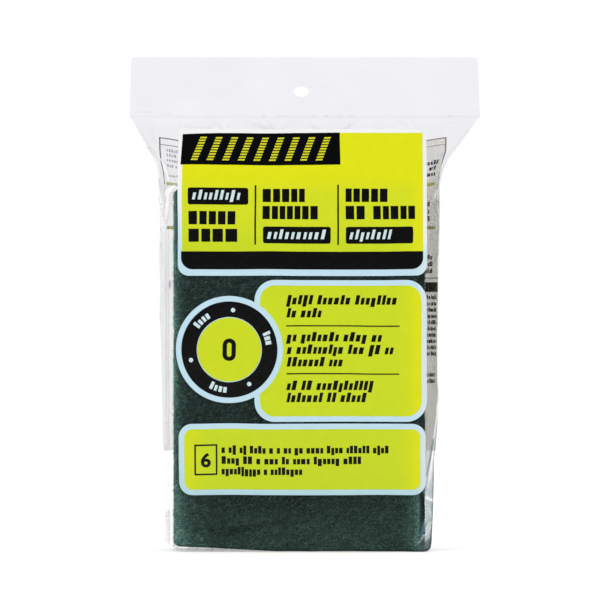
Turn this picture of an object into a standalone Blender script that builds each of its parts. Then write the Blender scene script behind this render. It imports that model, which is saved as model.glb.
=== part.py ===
"""Clear film hang bag that holds a stack of scouring pads, with its front print.

Metres, +Z up. The pack stands on its folded foot, the printed front faces -Y,
and the origin is in the middle of the outline, on the surface it stands on.
"""
import math

import bmesh
import bpy
from mathutils import Matrix, Vector

MM = 0.001

# Pads: six equal slabs, one behind the other, with the long side upright.
PAD_COUNT = 6
PAD_WIDTH = 101.6 * MM
PAD_HEIGHT = 146.1 * MM
PAD_THICKNESS = 6.5 * MM
PAD_EDGE = 1.2 * MM
PAD_EDGE_STEPS = 3
STACK_SHIFT = -2.2 * MM

# Clearance between pieces that touch on the real pack.
GAP = 0.3 * MM

# Bag: a film tube round the pads, drawn in to a flat welded line above them.
FILM = 0.4 * MM
STACK_PLAY = 0.4 * MM
FOOT_ROUND = 2.0 * MM
FOOT_STEPS = 3
SIDE_BULGE_FOOT = 2.4 * MM
SIDE_BULGE_TOP = 6.0 * MM
SIDE_BULGE_EASE = 0.6
SIDE_FOLD = 0.7 * MM
SIDE_FOLD_WAVES = 3
SIDE_FOLD_TWIST = math.radians(540)
GABLE_HEIGHT = 29.3 * MM
GABLE_EASE = 1.12
WELD_HEIGHT = 2.0 * MM

# Header: the two plies above the weld, leaning back to the plane of the back.
HEADER_WIDTH = 142.2 * MM
HEADER_LENGTH = 34.8 * MM
HEADER_LEAN = math.radians(44)
HEADER_THICKNESS = 0.8 * MM
HEADER_CORNER = 2.0 * MM
HEADER_EDGE_BULGE = 0.5 * MM
HANG_HOLE_DIAMETER = 6.35 * MM
HANG_HOLE_RISE = 14.6 * MM
HANG_HOLE_SHIFT = -1.4 * MM

# Small air hole low in the back film.
VENT_DIAMETER = 4.0 * MM
VENT_HEIGHT = 22.0 * MM

# Ear: the corner of the tube that stands out beside the foot on the left.
EAR_REACH = 4.2 * MM
EAR_BOTTOM = 1.9 * MM
EAR_TOP = 15.0 * MM
EAR_SLOPE = 2.0 * MM

# Print: thin fields on the front film, with their places measured from the pads' face
# as it is seen from the front.
INK = 0.3 * MM
PANEL_BORDER = 2.2 * MM
TITLE_MARGIN_LEFT = 3.4 * MM
TITLE_MARGIN_RIGHT = 0.9 * MM
TITLE_RISE = 22.6 * MM
TITLE_HEIGHT = 55.5 * MM
TITLE_BORDER = 1.6 * MM
TITLE_BORDER_FOOT = 2.6 * MM
TITLE_CORNER = 2.8 * MM
BAND_HEIGHT = 7.2 * MM
PLAIN_CORNER_WIDTH = 33.4 * MM
STRIP_HEIGHT = 13.2 * MM
STRIP_BARS = 9
STRIP_BAR_SHARE = 0.42
STRIP_MARGIN = 1.6 * MM
STRIP_SLANT = 4.0 * MM
FIRST_COLUMN_WIDTH = 29.7 * MM
LAST_COLUMN_SPARE = 1.0 * MM
DIVIDER_WIDTH = 0.65 * MM
DIVIDER_FOOT = 2.7 * MM
DIVIDER_LENGTH = 24.2 * MM
BAR_HEIGHT = 6.8 * MM
BAR_CORNER = 0.8 * MM
FIRST_BAR_LEAD = 2.5 * MM
FIRST_BAR_TRAIL = 2.9 * MM
FIRST_BAR_FOOT = 18.9 * MM
LATER_BAR_LEAD = 3.1 * MM
LATER_BAR_TRAIL = 3.0 * MM
LATER_BAR_FOOT = 3.2 * MM
NOTES_DROP = 6.5 * MM
NOTES_HEIGHT = 52.6 * MM
NOTES_START = 12.4 * MM
NOTES_MARGIN_RIGHT = 1.55 * MM
NOTES_CORNER = 6.0 * MM
NOTES_RULE_LEAD = 1.45 * MM
NOTES_RULE_TRAIL = 8.9 * MM
NOTES_RULE_WIDTH = 0.5 * MM
NOTES_RULE_DROPS = (16.5 * MM, 35.8 * MM)
COUNT_DROP = 5.2 * MM
COUNT_HEIGHT = 24.4 * MM
COUNT_MARGIN_LEFT = 4.5 * MM
COUNT_MARGIN_RIGHT = 1.95 * MM
COUNT_CORNER = 3.2 * MM
GRADE_INSET = 22.6 * MM
GRADE_RISE = 0.5 * MM
GRADE_DISC_RADIUS = 12.9 * MM
GRADE_RING_WIDTH = 6.5 * MM

# Mesh fineness.
FLAT_STEPS = 8
SIDE_STEPS = 12
BODY_ROWS = 10
GABLE_ROWS = 7
HEADER_ROWS = 4
CORNER_STEPS = 5
CIRCLE_STEPS = 72
HOLE_STEPS = 32

# Sizes that follow from the ones above.
STACK_DEPTH = PAD_COUNT * PAD_THICKNESS + (PAD_COUNT - 1) * GAP
BODY_HALF_DEPTH = STACK_DEPTH / 2 + GAP + FILM
BODY_HALF_WIDTH = PAD_WIDTH / 2 + STACK_PLAY
PAD_FOOT = FILM + GAP
PAD_TOP = PAD_FOOT + PAD_HEIGHT
SHOULDER = PAD_TOP + GAP + FILM
CREASE = PAD_TOP + GABLE_HEIGHT
HEADER_TIP_Y = BODY_HALF_DEPTH + GAP + INK - HEADER_THICKNESS / 2
CREASE_Y = HEADER_TIP_Y - HEADER_LENGTH * math.sin(HEADER_LEAN)
HEADER_HALF_DEPTH = HEADER_THICKNESS / 2 / math.cos(HEADER_LEAN)
FACE_LEFT = STACK_SHIFT - PAD_WIDTH / 2
FACE_RIGHT = STACK_SHIFT + PAD_WIDTH / 2
TITLE_LEFT = FACE_LEFT + TITLE_MARGIN_LEFT
TITLE_RIGHT = FACE_RIGHT - TITLE_MARGIN_RIGHT
TITLE_TOP = PAD_TOP + TITLE_RISE
TITLE_BOTTOM = TITLE_TOP - TITLE_HEIGHT
BAND_TOP = TITLE_BOTTOM + BAND_HEIGHT
STRIP_RIGHT = TITLE_RIGHT - PLAIN_CORNER_WIDTH
COLUMN_PITCH = (TITLE_RIGHT - TITLE_LEFT - FIRST_COLUMN_WIDTH - LAST_COLUMN_SPARE) / 2
GRADE_X = FACE_LEFT + GRADE_INSET
NOTES_RIGHT = FACE_RIGHT - NOTES_MARGIN_RIGHT
NOTES_LEFT = GRADE_X + NOTES_START
NOTES_TOP = TITLE_BOTTOM - NOTES_DROP
NOTES_BOTTOM = NOTES_TOP - NOTES_HEIGHT
COUNT_LEFT = FACE_LEFT + COUNT_MARGIN_LEFT
COUNT_RIGHT = FACE_RIGHT - COUNT_MARGIN_RIGHT
COUNT_TOP = NOTES_BOTTOM - COUNT_DROP
COUNT_BOTTOM = COUNT_TOP - COUNT_HEIGHT
GRADE_Z = (NOTES_TOP + NOTES_BOTTOM) / 2 + GRADE_RISE
GRADE_RING_RADIUS = GRADE_DISC_RADIUS + GRADE_RING_WIDTH
GRADE_BORDER_RADIUS = GRADE_RING_RADIUS + PANEL_BORDER


def clear_scene():
    for obj in list(bpy.data.objects):
        bpy.data.objects.remove(obj, do_unlink=True)


def new_collection(name):
    collection = bpy.data.collections.new(name)
    bpy.context.scene.collection.children.link(collection)
    return collection


def new_material(name, colour, roughness, alpha=1.0):
    material = bpy.data.materials.new(name)
    material.use_nodes = True
    shader = material.node_tree.nodes["Principled BSDF"]
    shader.inputs["Base Color"].default_value = (*colour, 1.0)
    shader.inputs["Roughness"].default_value = roughness
    shader.inputs["Metallic"].default_value = 0.0
    shader.inputs["Alpha"].default_value = alpha
    material.diffuse_color = (*colour, alpha)
    return material


def mix(start, end, share):
    return start + (end - start) * share


def new_object(name, mesh, collection, material=None):
    obj = bpy.data.objects.new(name, mesh)
    collection.objects.link(obj)
    if material:
        mesh.materials.clear()
        mesh.materials.append(material)
    return obj


def hide_cutter(obj):
    obj.hide_render = True
    obj.display_type = "WIRE"
    return obj


def add_boolean(obj, operation, other):
    modifier = obj.modifiers.new(operation.title(), "BOOLEAN")
    modifier.operation = operation
    modifier.solver = "EXACT"
    modifier.object = other


def bag_section(row, inset):
    """Points round one level of the bag: front run, right side, back run, left side."""
    level, centre_x, centre_y, flat, depth, bulge, fold_turn = row
    half_depth = depth - inset
    points = []
    for step in range(FLAT_STEPS):
        points.append((mix(-flat, flat, step / FLAT_STEPS), -half_depth))
    for step in range(SIDE_STEPS):
        points.append(side_point(step, flat, half_depth, bulge - inset, fold_turn, 1))
    for step in range(FLAT_STEPS):
        points.append((mix(flat, -flat, step / FLAT_STEPS), half_depth))
    for step in range(SIDE_STEPS):
        points.append(side_point(step, flat, half_depth, bulge - inset, fold_turn, -1))
    return [Vector((centre_x + x, centre_y + y, level)) for x, y in points]


def side_point(step, flat, half_depth, bulge, fold_turn, side):
    """One point of the rounded side, with the soft folds that wind along it."""
    angle = math.pi * step / SIDE_STEPS
    fold = SIDE_FOLD * math.sin(angle) * math.sin(SIDE_FOLD_WAVES * angle * 2 + fold_turn)
    fold *= min(1.0, bulge / SIDE_BULGE_TOP)
    x = flat + bulge * math.sin(angle) + fold
    return side * x, -side * half_depth * math.cos(angle)


def foot_rows(inset):
    """Rounded edge under the pads, from the flat foot up to the upright walls."""
    radius = FOOT_ROUND - inset
    for step in range(FOOT_STEPS):
        angle = math.pi / 2 * step / FOOT_STEPS
        level = inset + radius * (1 - math.cos(angle))
        pull = radius * (1 - math.sin(angle))
        yield (level, STACK_SHIFT, 0.0, BODY_HALF_WIDTH - pull, BODY_HALF_DEPTH - pull,
               SIDE_BULGE_FOOT, 0.0)


def body_rows():
    """Upright walls: the sides bulge more the higher they are."""
    for step in range(BODY_ROWS + 1):
        share = step / BODY_ROWS
        yield (mix(FOOT_ROUND, SHOULDER, share), STACK_SHIFT, 0.0, BODY_HALF_WIDTH, BODY_HALF_DEPTH,
               mix(SIDE_BULGE_FOOT, SIDE_BULGE_TOP, share ** SIDE_BULGE_EASE), share * SIDE_FOLD_TWIST)


def gable_row(share):
    """A level of the part that is drawn in from the box to the flat weld."""
    body_half = BODY_HALF_WIDTH + SIDE_BULGE_TOP
    half_width = mix(body_half, HEADER_WIDTH / 2, share ** GABLE_EASE)
    bulge = mix(SIDE_BULGE_TOP, HEADER_EDGE_BULGE, share)
    return (mix(SHOULDER, CREASE, share), mix(STACK_SHIFT, 0.0, share), mix(0.0, CREASE_Y, share),
            half_width - bulge, mix(BODY_HALF_DEPTH, HEADER_HALF_DEPTH, share), bulge,
            (1 + share) * SIDE_FOLD_TWIST)


def header_rows():
    """The leaning flat header, with rounded upper corners."""
    shares = [step / HEADER_ROWS for step in range(1, HEADER_ROWS)]
    rows = [(share * (HEADER_LENGTH - HEADER_CORNER), 0.0) for share in shares]
    for step in range(CORNER_STEPS + 1):
        angle = math.pi / 2 * step / CORNER_STEPS
        climb = HEADER_LENGTH - HEADER_CORNER * (1 - math.sin(angle))
        rows.append((climb, HEADER_CORNER * (1 - math.cos(angle))))
    for climb, narrowing in rows:
        level = CREASE + climb * math.cos(HEADER_LEAN)
        centre_y = CREASE_Y + climb * math.sin(HEADER_LEAN)
        flat = HEADER_WIDTH / 2 - HEADER_EDGE_BULGE - narrowing
        yield level, 0.0, centre_y, flat, HEADER_HALF_DEPTH, HEADER_EDGE_BULGE, 0.0


def loft(name, sections, collection, material=None):
    """Skin a closed solid through equal rings of points, with a flat cap at each end."""
    shape = bmesh.new()
    rings = [[shape.verts.new(point) for point in section] for section in sections]
    count = len(rings[0])
    for lower, upper in zip(rings, rings[1:]):
        for here in range(count):
            there = (here + 1) % count
            shape.faces.new((lower[here], lower[there], upper[there], upper[here]))
    shape.faces.new(list(reversed(rings[0])))
    shape.faces.new(rings[-1])
    bmesh.ops.recalc_face_normals(shape, faces=shape.faces)
    mesh = bpy.data.meshes.new(name)
    shape.to_mesh(mesh)
    shape.free()
    return new_object(name, mesh, collection, material)


def cylinder(name, centre, axis, diameter, length, collection):
    shape = bmesh.new()
    bmesh.ops.create_cone(shape, cap_ends=True, segments=HOLE_STEPS, radius1=diameter / 2,
                          radius2=diameter / 2, depth=length)
    turn = axis.to_track_quat("Z", "Y").to_matrix().to_4x4()
    mesh = bpy.data.meshes.new(name)
    shape.to_mesh(mesh)
    shape.free()
    obj = new_object(name, mesh, collection)
    obj.matrix_world = Matrix.Translation(centre) @ turn
    return obj


def rounded_outline(left, right, bottom, top, radii):
    """Corner radii run from lower left round to lower right, upper right, upper left."""
    corners = ((left, bottom, 1, 1, 180), (right, bottom, -1, 1, 270),
               (right, top, -1, -1, 0), (left, top, 1, -1, 90))
    points = []
    for (x, z, inward_x, inward_z, start), radius in zip(corners, radii):
        if radius == 0:
            points.append((x, z))
            continue
        for step in range(CORNER_STEPS + 1):
            angle = math.radians(start + 90 * step / CORNER_STEPS)
            points.append((x + inward_x * radius + radius * math.cos(angle),
                           z + inward_z * radius + radius * math.sin(angle)))
    return points


def circle_outline(radius):
    angles = [math.tau * step / CIRCLE_STEPS for step in range(CIRCLE_STEPS)]
    return [(GRADE_X + radius * math.cos(angle), GRADE_Z + radius * math.sin(angle)) for angle in angles]


def plate(name, outlines, collection, material=None, thickness=INK):
    """Upright sheet with the given outlines: the first is its edge, the others are windows."""
    curve = bpy.data.curves.new(name, "CURVE")
    curve.dimensions = "2D"
    curve.fill_mode = "BOTH"
    curve.extrude = thickness / 2
    curve.render_resolution_u = 0
    for outline in outlines:
        spline = curve.splines.new("POLY")
        spline.points.add(len(outline) - 1)
        for point, (x, z) in zip(spline.points, outline):
            point.co = (x, z, 0.0, 1.0)
        spline.use_cyclic_u = True
    flat = bpy.data.objects.new(name + "_outline", curve)
    collection.objects.link(flat)
    flat.rotation_euler = (math.pi / 2, 0.0, 0.0)
    bpy.context.view_layer.update()
    graph = bpy.context.evaluated_depsgraph_get()
    mesh = bpy.data.meshes.new_from_object(flat.evaluated_get(graph))
    mesh.transform(flat.matrix_world)
    mesh.name = name
    bpy.data.objects.remove(flat, do_unlink=True)
    close_mesh(mesh)
    return new_object(name, mesh, collection, material)


def close_mesh(mesh):
    shape = bmesh.new()
    shape.from_mesh(mesh)
    bmesh.ops.remove_doubles(shape, verts=shape.verts, dist=0.01 * MM)
    bmesh.ops.recalc_face_normals(shape, faces=shape.faces)
    shape.to_mesh(mesh)
    shape.free()
    mesh.shade_flat()


def front_film_y(level):
    """Place of the front film at a height: upright over the pads, leaning back above them."""
    share = max(0.0, (level - SHOULDER) / (CREASE - SHOULDER))
    return mix(0.0, CREASE_Y, share) - mix(BODY_HALF_DEPTH, HEADER_HALF_DEPTH, share)


def lay_on_film(obj):
    """Bend a plate along the front film, which folds once where the pads end."""
    shape = bmesh.new()
    shape.from_mesh(obj.data)
    parts = list(shape.verts) + list(shape.edges) + list(shape.faces)
    bmesh.ops.bisect_plane(shape, geom=parts, dist=0.001 * MM, plane_co=(0.0, 0.0, SHOULDER),
                           plane_no=(0.0, 0.0, 1.0))
    for vertex in shape.verts:
        vertex.co.y += front_film_y(vertex.co.z) - GAP - INK / 2
    shape.to_mesh(obj.data)
    shape.free()
    return obj


def smooth_rounds(obj, angle=math.radians(35)):
    obj.data.shade_smooth()
    obj.data.set_sharp_from_angle(angle=angle)


def make_pads(parts, material):
    """Soft slabs with rounded rims, from the front of the stack to its back."""
    for number in range(PAD_COUNT):
        shape = bmesh.new()
        size = Matrix.Diagonal((PAD_WIDTH, PAD_THICKNESS, PAD_HEIGHT, 1.0))
        bmesh.ops.create_cube(shape, size=1.0, matrix=size)
        mesh = bpy.data.meshes.new("pad")
        shape.to_mesh(mesh)
        shape.free()
        pad = new_object(f"pad_{number + 1}", mesh, parts, material)
        front_y = -STACK_DEPTH / 2 + number * (PAD_THICKNESS + GAP)
        pad.location = (STACK_SHIFT, front_y + PAD_THICKNESS / 2, PAD_FOOT + PAD_HEIGHT / 2)
        rim = pad.modifiers.new("Rim", "BEVEL")
        rim.width = PAD_EDGE
        rim.segments = PAD_EDGE_STEPS
        smooth_rounds(pad)


def make_bag(parts, cutters, material):
    """One film shell: the skin, less the room for the pads, the hang hole and the air hole."""
    levels = list(foot_rows(0.0)) + list(body_rows())
    levels += [gable_row(step / GABLE_ROWS) for step in range(1, GABLE_ROWS + 1)]
    levels += list(header_rows())
    bag = loft("bag", [bag_section(row, 0.0) for row in levels], parts, material)
    add_boolean(bag, "UNION", hide_cutter(make_ear(cutters)))
    add_boolean(bag, "DIFFERENCE", hide_cutter(make_room(cutters)))
    normal = Vector((0.0, -math.cos(HEADER_LEAN), math.sin(HEADER_LEAN)))
    hole_centre = Vector((HANG_HOLE_SHIFT, CREASE_Y + HANG_HOLE_RISE * math.sin(HEADER_LEAN),
                          CREASE + HANG_HOLE_RISE * math.cos(HEADER_LEAN)))
    hang_hole = cylinder("hang_hole", hole_centre, normal, HANG_HOLE_DIAMETER, 2 * HEADER_THICKNESS, cutters)
    add_boolean(bag, "DIFFERENCE", hide_cutter(hang_hole))
    vent_centre = Vector((STACK_SHIFT, BODY_HALF_DEPTH, VENT_HEIGHT))
    vent = cylinder("vent", vent_centre, Vector((0.0, 1.0, 0.0)), VENT_DIAMETER, 2 * FILM + GAP, cutters)
    add_boolean(bag, "DIFFERENCE", hide_cutter(vent))
    smooth_rounds(bag)


def make_room(cutters):
    """The hollow of the bag, which ends a little below the weld."""
    last = 1 - WELD_HEIGHT / (CREASE - SHOULDER)
    levels = list(foot_rows(FILM)) + list(body_rows())
    levels += [gable_row(last * step / GABLE_ROWS) for step in range(1, GABLE_ROWS + 1)]
    return loft("bag_room", [bag_section(row, FILM) for row in levels], cutters)


def make_ear(cutters):
    """Flat tab of film that stands out beside the foot, with sloped ends."""
    root_x = STACK_SHIFT - BODY_HALF_WIDTH
    tip_x = root_x - EAR_REACH
    outline = [(root_x, EAR_BOTTOM), (root_x, EAR_TOP), (tip_x, EAR_TOP - EAR_SLOPE),
               (tip_x, EAR_BOTTOM + EAR_SLOPE)]
    return plate("ear", [outline], cutters, thickness=HEADER_THICKNESS)


def make_title(parts, pale, yellow, black):
    """Upper panel: pale frame, yellow field, black band below, slanted strip at upper left."""
    strip_bottom = TITLE_TOP - STRIP_HEIGHT
    outer_corner = TITLE_CORNER + TITLE_BORDER
    edge = rounded_outline(TITLE_LEFT - TITLE_BORDER, TITLE_RIGHT + TITLE_BORDER,
                           TITLE_BOTTOM - TITLE_BORDER_FOOT, TITLE_TOP + TITLE_BORDER,
                           (outer_corner, outer_corner, 0, 0))
    window = rounded_outline(TITLE_LEFT - GAP, TITLE_RIGHT + GAP, TITLE_BOTTOM - GAP, TITLE_TOP + GAP,
                             (TITLE_CORNER, TITLE_CORNER, 0, 0))
    lay_on_film(plate("title_border", [edge, window], parts, pale))
    band = rounded_outline(TITLE_LEFT, TITLE_RIGHT, TITLE_BOTTOM, BAND_TOP,
                           (TITLE_CORNER, TITLE_CORNER, 0, 0))
    lay_on_film(plate("title_band", [band], parts, black))
    field = [(TITLE_LEFT, BAND_TOP + GAP), (TITLE_RIGHT, BAND_TOP + GAP), (TITLE_RIGHT, TITLE_TOP),
             (STRIP_RIGHT + GAP, TITLE_TOP), (STRIP_RIGHT + GAP, strip_bottom - GAP),
             (TITLE_LEFT, strip_bottom - GAP)]
    windows = []
    for name, box, corner in title_marks():
        windows.append(rounded_outline(*grown(box, GAP), (corner,) * 4))
        lay_on_film(plate(name, [rounded_outline(*box, (corner,) * 4)], parts, black))
    lay_on_film(plate("title_field", [field] + windows, parts, yellow))
    strip = rounded_outline(TITLE_LEFT, STRIP_RIGHT, strip_bottom, TITLE_TOP, (0, 0, 0, 0))
    lay_on_film(plate("title_strip", [strip] + strip_windows(strip_bottom), parts, black))


def divider_x(column):
    """Middle of the divider at the right of a column."""
    return TITLE_LEFT + FIRST_COLUMN_WIDTH + column * COLUMN_PITCH


def title_marks():
    """Three dark bars, one in each column, and the dividers between the columns."""
    first_length = FIRST_COLUMN_WIDTH - FIRST_BAR_LEAD - FIRST_BAR_TRAIL
    later_length = COLUMN_PITCH - LATER_BAR_LEAD - LATER_BAR_TRAIL
    bars = ((TITLE_LEFT + FIRST_BAR_LEAD, first_length, FIRST_BAR_FOOT),
            (divider_x(0) + LATER_BAR_LEAD, later_length, LATER_BAR_FOOT),
            (divider_x(1) + LATER_BAR_LEAD, later_length, LATER_BAR_FOOT))
    for number, (left, length, foot) in enumerate(bars):
        bottom = BAND_TOP + foot
        yield f"title_bar_{number + 1}", (left, left + length, bottom, bottom + BAR_HEIGHT), BAR_CORNER
    for column in range(2):
        left = divider_x(column) - DIVIDER_WIDTH / 2
        bottom = BAND_TOP + DIVIDER_FOOT
        box = (left, left + DIVIDER_WIDTH, bottom, bottom + DIVIDER_LENGTH)
        yield f"title_divider_{column + 1}", box, 0


def grown(box, margin):
    left, right, bottom, top = box
    return left - margin, right + margin, bottom - margin, top + margin


def strip_windows(strip_bottom):
    """Equal slanted openings along the strip."""
    low = strip_bottom + STRIP_MARGIN
    high = TITLE_TOP - STRIP_MARGIN
    pitch = (STRIP_RIGHT - TITLE_LEFT - 2 * STRIP_MARGIN - STRIP_SLANT) / STRIP_BARS
    windows = []
    for number in range(STRIP_BARS):
        left = TITLE_LEFT + STRIP_MARGIN + (number + (1 - STRIP_BAR_SHARE) / 2) * pitch
        right = left + STRIP_BAR_SHARE * pitch
        windows.append([(left, low), (right, low), (right + STRIP_SLANT, high), (left + STRIP_SLANT, high)])
    return windows


def make_label(parts, cutters, pale, yellow, black):
    """Grade ring at the left, and the notes panel whose edge the ring cuts into."""
    edge_corner = NOTES_CORNER + PANEL_BORDER
    edge = rounded_outline(NOTES_LEFT - PANEL_BORDER, NOTES_RIGHT + PANEL_BORDER,
                           NOTES_BOTTOM - PANEL_BORDER, NOTES_TOP + PANEL_BORDER, (edge_corner,) * 4)
    window = rounded_outline(NOTES_LEFT - GAP, NOTES_RIGHT + GAP, NOTES_BOTTOM - GAP, NOTES_TOP + GAP,
                             (NOTES_CORNER,) * 4)
    panel = rounded_outline(NOTES_LEFT, NOTES_RIGHT, NOTES_BOTTOM, NOTES_TOP, (NOTES_CORNER,) * 4)
    room = plate("grade_room", [circle_outline(GRADE_BORDER_RADIUS + GAP)], cutters, thickness=3 * INK)
    lay_on_film(hide_cutter(room))
    notes_border = lay_on_film(plate("notes_border", [edge, window], parts, pale))
    rule_left = GRADE_X + GRADE_BORDER_RADIUS + NOTES_RULE_LEAD
    rule_right = NOTES_RIGHT - NOTES_RULE_TRAIL
    windows = []
    for number, drop in enumerate(NOTES_RULE_DROPS):
        rule_bottom = NOTES_TOP - drop
        rule = (rule_left, rule_right, rule_bottom, rule_bottom + NOTES_RULE_WIDTH)
        windows.append(rounded_outline(*grown(rule, GAP), (0,) * 4))
        lay_on_film(plate(f"notes_rule_{number + 1}", [rounded_outline(*rule, (0,) * 4)], parts, black))
    notes_field = lay_on_film(plate("notes_field", [panel] + windows, parts, yellow))
    add_boolean(notes_border, "DIFFERENCE", room)
    add_boolean(notes_field, "DIFFERENCE", room)
    lay_on_film(plate("grade_border", [circle_outline(GRADE_BORDER_RADIUS),
                                       circle_outline(GRADE_RING_RADIUS + GAP)], parts, pale))
    lay_on_film(plate("grade_ring", [circle_outline(GRADE_RING_RADIUS),
                                     circle_outline(GRADE_DISC_RADIUS + GAP)], parts, black))
    lay_on_film(plate("grade_disc", [circle_outline(GRADE_DISC_RADIUS)], parts, yellow))


def make_count(parts, pale, yellow):
    """Lower panel: pale frame and yellow field."""
    edge_corner = COUNT_CORNER + PANEL_BORDER
    edge = rounded_outline(COUNT_LEFT - PANEL_BORDER, COUNT_RIGHT + PANEL_BORDER, COUNT_BOTTOM - PANEL_BORDER,
                           COUNT_TOP + PANEL_BORDER, (edge_corner,) * 4)
    window = rounded_outline(COUNT_LEFT - GAP, COUNT_RIGHT + GAP, COUNT_BOTTOM - GAP, COUNT_TOP + GAP,
                             (COUNT_CORNER,) * 4)
    lay_on_film(plate("count_border", [edge, window], parts, pale))
    field = rounded_outline(COUNT_LEFT, COUNT_RIGHT, COUNT_BOTTOM, COUNT_TOP, (COUNT_CORNER,) * 4)
    lay_on_film(plate("count_field", [field], parts, yellow))


def main():
    clear_scene()
    parts = new_collection("pad_pack")
    cutters = new_collection("cutters")
    film = new_material("film", (0.90, 0.91, 0.94), 0.12, alpha=0.3)
    fibre = new_material("fibre", (0.021, 0.045, 0.037), 0.95)
    pale = new_material("pale_ink", (0.60, 0.78, 0.88), 0.3)
    yellow = new_material("yellow_ink", (0.66, 0.71, 0.014), 0.3)
    black = new_material("black_ink", (0.006, 0.006, 0.007), 0.3)
    make_pads(parts, fibre)
    make_bag(parts, cutters, film)
    make_title(parts, pale, yellow, black)
    make_label(parts, cutters, pale, yellow, black)
    make_count(parts, pale, yellow)


main()
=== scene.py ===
import math

import bmesh
import bpy
import numpy as np
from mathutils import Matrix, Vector


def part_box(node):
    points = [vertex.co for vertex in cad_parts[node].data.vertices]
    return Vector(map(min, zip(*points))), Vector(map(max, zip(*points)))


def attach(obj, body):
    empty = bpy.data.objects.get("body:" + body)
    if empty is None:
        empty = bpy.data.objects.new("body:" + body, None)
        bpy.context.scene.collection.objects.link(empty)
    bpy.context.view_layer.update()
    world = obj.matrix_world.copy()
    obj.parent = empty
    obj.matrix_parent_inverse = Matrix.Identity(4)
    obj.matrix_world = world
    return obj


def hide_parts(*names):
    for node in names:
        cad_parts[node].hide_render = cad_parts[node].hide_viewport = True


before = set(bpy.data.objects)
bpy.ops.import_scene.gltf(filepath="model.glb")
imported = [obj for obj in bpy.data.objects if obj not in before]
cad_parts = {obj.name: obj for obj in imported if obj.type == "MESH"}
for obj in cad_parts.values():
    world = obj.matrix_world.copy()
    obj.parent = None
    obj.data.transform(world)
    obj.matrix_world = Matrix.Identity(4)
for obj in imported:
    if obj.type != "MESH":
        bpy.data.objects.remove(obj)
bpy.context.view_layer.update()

MM = 0.001


def box_mm(node):
    low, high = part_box(node)
    return low / MM, high / MM


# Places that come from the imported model.
BAG_LOW, BAG_HIGH = box_mm("bag")
PAD_LOW, PAD_HIGH = box_mm("pad_1")
PAD_COUNT = sum(name.startswith("pad_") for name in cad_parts)
CLEARANCE = PAD_LOW.z - BAG_LOW.z
BODY_X = (PAD_LOW.x + PAD_HIGH.x) / 2
BODY_HALF_DEPTH = -BAG_LOW.y
SHOULDER = PAD_HIGH.z + CLEARANCE

# Film bag: the values that its solid follows too.
STACK_PLAY = 0.4
BODY_HALF_WIDTH = (PAD_HIGH.x - PAD_LOW.x) / 2 + STACK_PLAY
FOOT_ROUND = 2.0
SIDE_BULGE_FOOT = 2.4
SIDE_BULGE_TOP = 6.0
SIDE_BULGE_EASE = 0.6
GABLE_EASE = 1.4
HEADER_LENGTH = 34.8
HEADER_LEAN = math.radians(44)
HEADER_THICKNESS = 0.8
HEADER_EDGE_BULGE = 0.5
HEADER_CORNER_LEFT = 0.9
HEADER_CORNER_RIGHT = 2.2
HANG_HOLE_DIAMETER = 6.35
HANG_HOLE_RISE = 14.6
HANG_HOLE_X = -1.4
HEADER_HALF_DEPTH = HEADER_THICKNESS / 2 / math.cos(HEADER_LEAN)
CREASE = BAG_HIGH.z - HEADER_LENGTH * math.cos(HEADER_LEAN)
CREASE_Y = BAG_HIGH.y - HEADER_HALF_DEPTH - HEADER_LENGTH * math.sin(HEADER_LEAN)
HEADER_HALF_WIDTH = (BAG_HIGH.x - BAG_LOW.x) / 2

# The hang hole is this much longer here than in the solid, along the header.
HOLE_STRETCH = 1.1

# The foot of the pack curls up a little at its left end, where an ear stands out.
FOOT_LIFT = 1.9
EAR_TIP = -57.2

# Waist where the film is drawn in above the pads, as a hump on each side.
WAIST_LEVEL = 156.5
WAIST_REACH = 6.0
WAIST_DEPTH = 1.2

# Fineness of the film's mesh.
FRONT_COLUMNS = 110
SIDE_COLUMNS = 54
FOOT_ROWS = 6
BODY_ROWS = 215
GABLE_ROWS = 44
HEADER_ROWS = 26
HEADER_CORNER_ROWS = 6
HOLE_STEPS = 48

# Camera: level with the middle of the pack, far off, as in the photograph.
FRAME_PIXELS = 600
PIXEL_SIZE = 0.4032
CAMERA_X = -1.9
CAMERA_LEVEL = 101.6
CAMERA_DISTANCE = 2400.0
SENSOR = 36.0

# Film tones: base colour and opacity of one ply.
CLEAR_TONE = (0.15, 0.10, 0.36)
CLEAR_OPACITY = 0.070
LEFT_TONE = (0.13, 0.14, 0.20)
RIGHT_TONE = (0.145, 0.155, 0.095)
GABLE_TONE = (0.08, 0.07, 0.22)
FRONT_TONE = (0.045, 0.055, 0.07)
FRONT_OPACITY = 0.05

# Fields that the crumpled patterns of the film fill, and patterns: seed, size of a facet and field.
SIDE_GIRTH = 46.0
SIDE_FIELD = (SIDE_GIRTH, 180.0)
GABLE_FIELD = (150.0, 45.0)
FRONT_PATTERN = (41, 11.0, GABLE_FIELD)
BACK_PATTERN = (51, 13.0, GABLE_FIELD)


def smoothstep(low, high, value):
    share = np.clip((value - low) / (high - low), 0.0, 1.0)
    return share * share * (3 - 2 * share)


def between(low, rise, fall, high, value):
    """Rises from 0 at low to 1, and falls to 0 again at high."""
    return smoothstep(low, rise, value) * (1 - smoothstep(fall, high, value))


def mix(start, end, share):
    return start + (end - start) * share


def blend(start, end, share):
    """Mix of two colours at each point."""
    return mix(np.asarray(start), np.asarray(end), share[..., None])


def value_noise(u, v, seed, size=64):
    """Smooth noise between -1 and 1 on a unit lattice."""
    lattice = np.random.default_rng(seed).uniform(-1.0, 1.0, (size, size))
    cell_u, cell_v = np.floor(u).astype(int), np.floor(v).astype(int)
    share_u, share_v = smoothstep(0, 1, u - cell_u), smoothstep(0, 1, v - cell_v)
    low, high = (mix(lattice[cell_u % size, cell % size], lattice[(cell_u + 1) % size, cell % size], share_u)
                 for cell in (cell_v, cell_v + 1))
    return mix(low, high, share_v)


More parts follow.
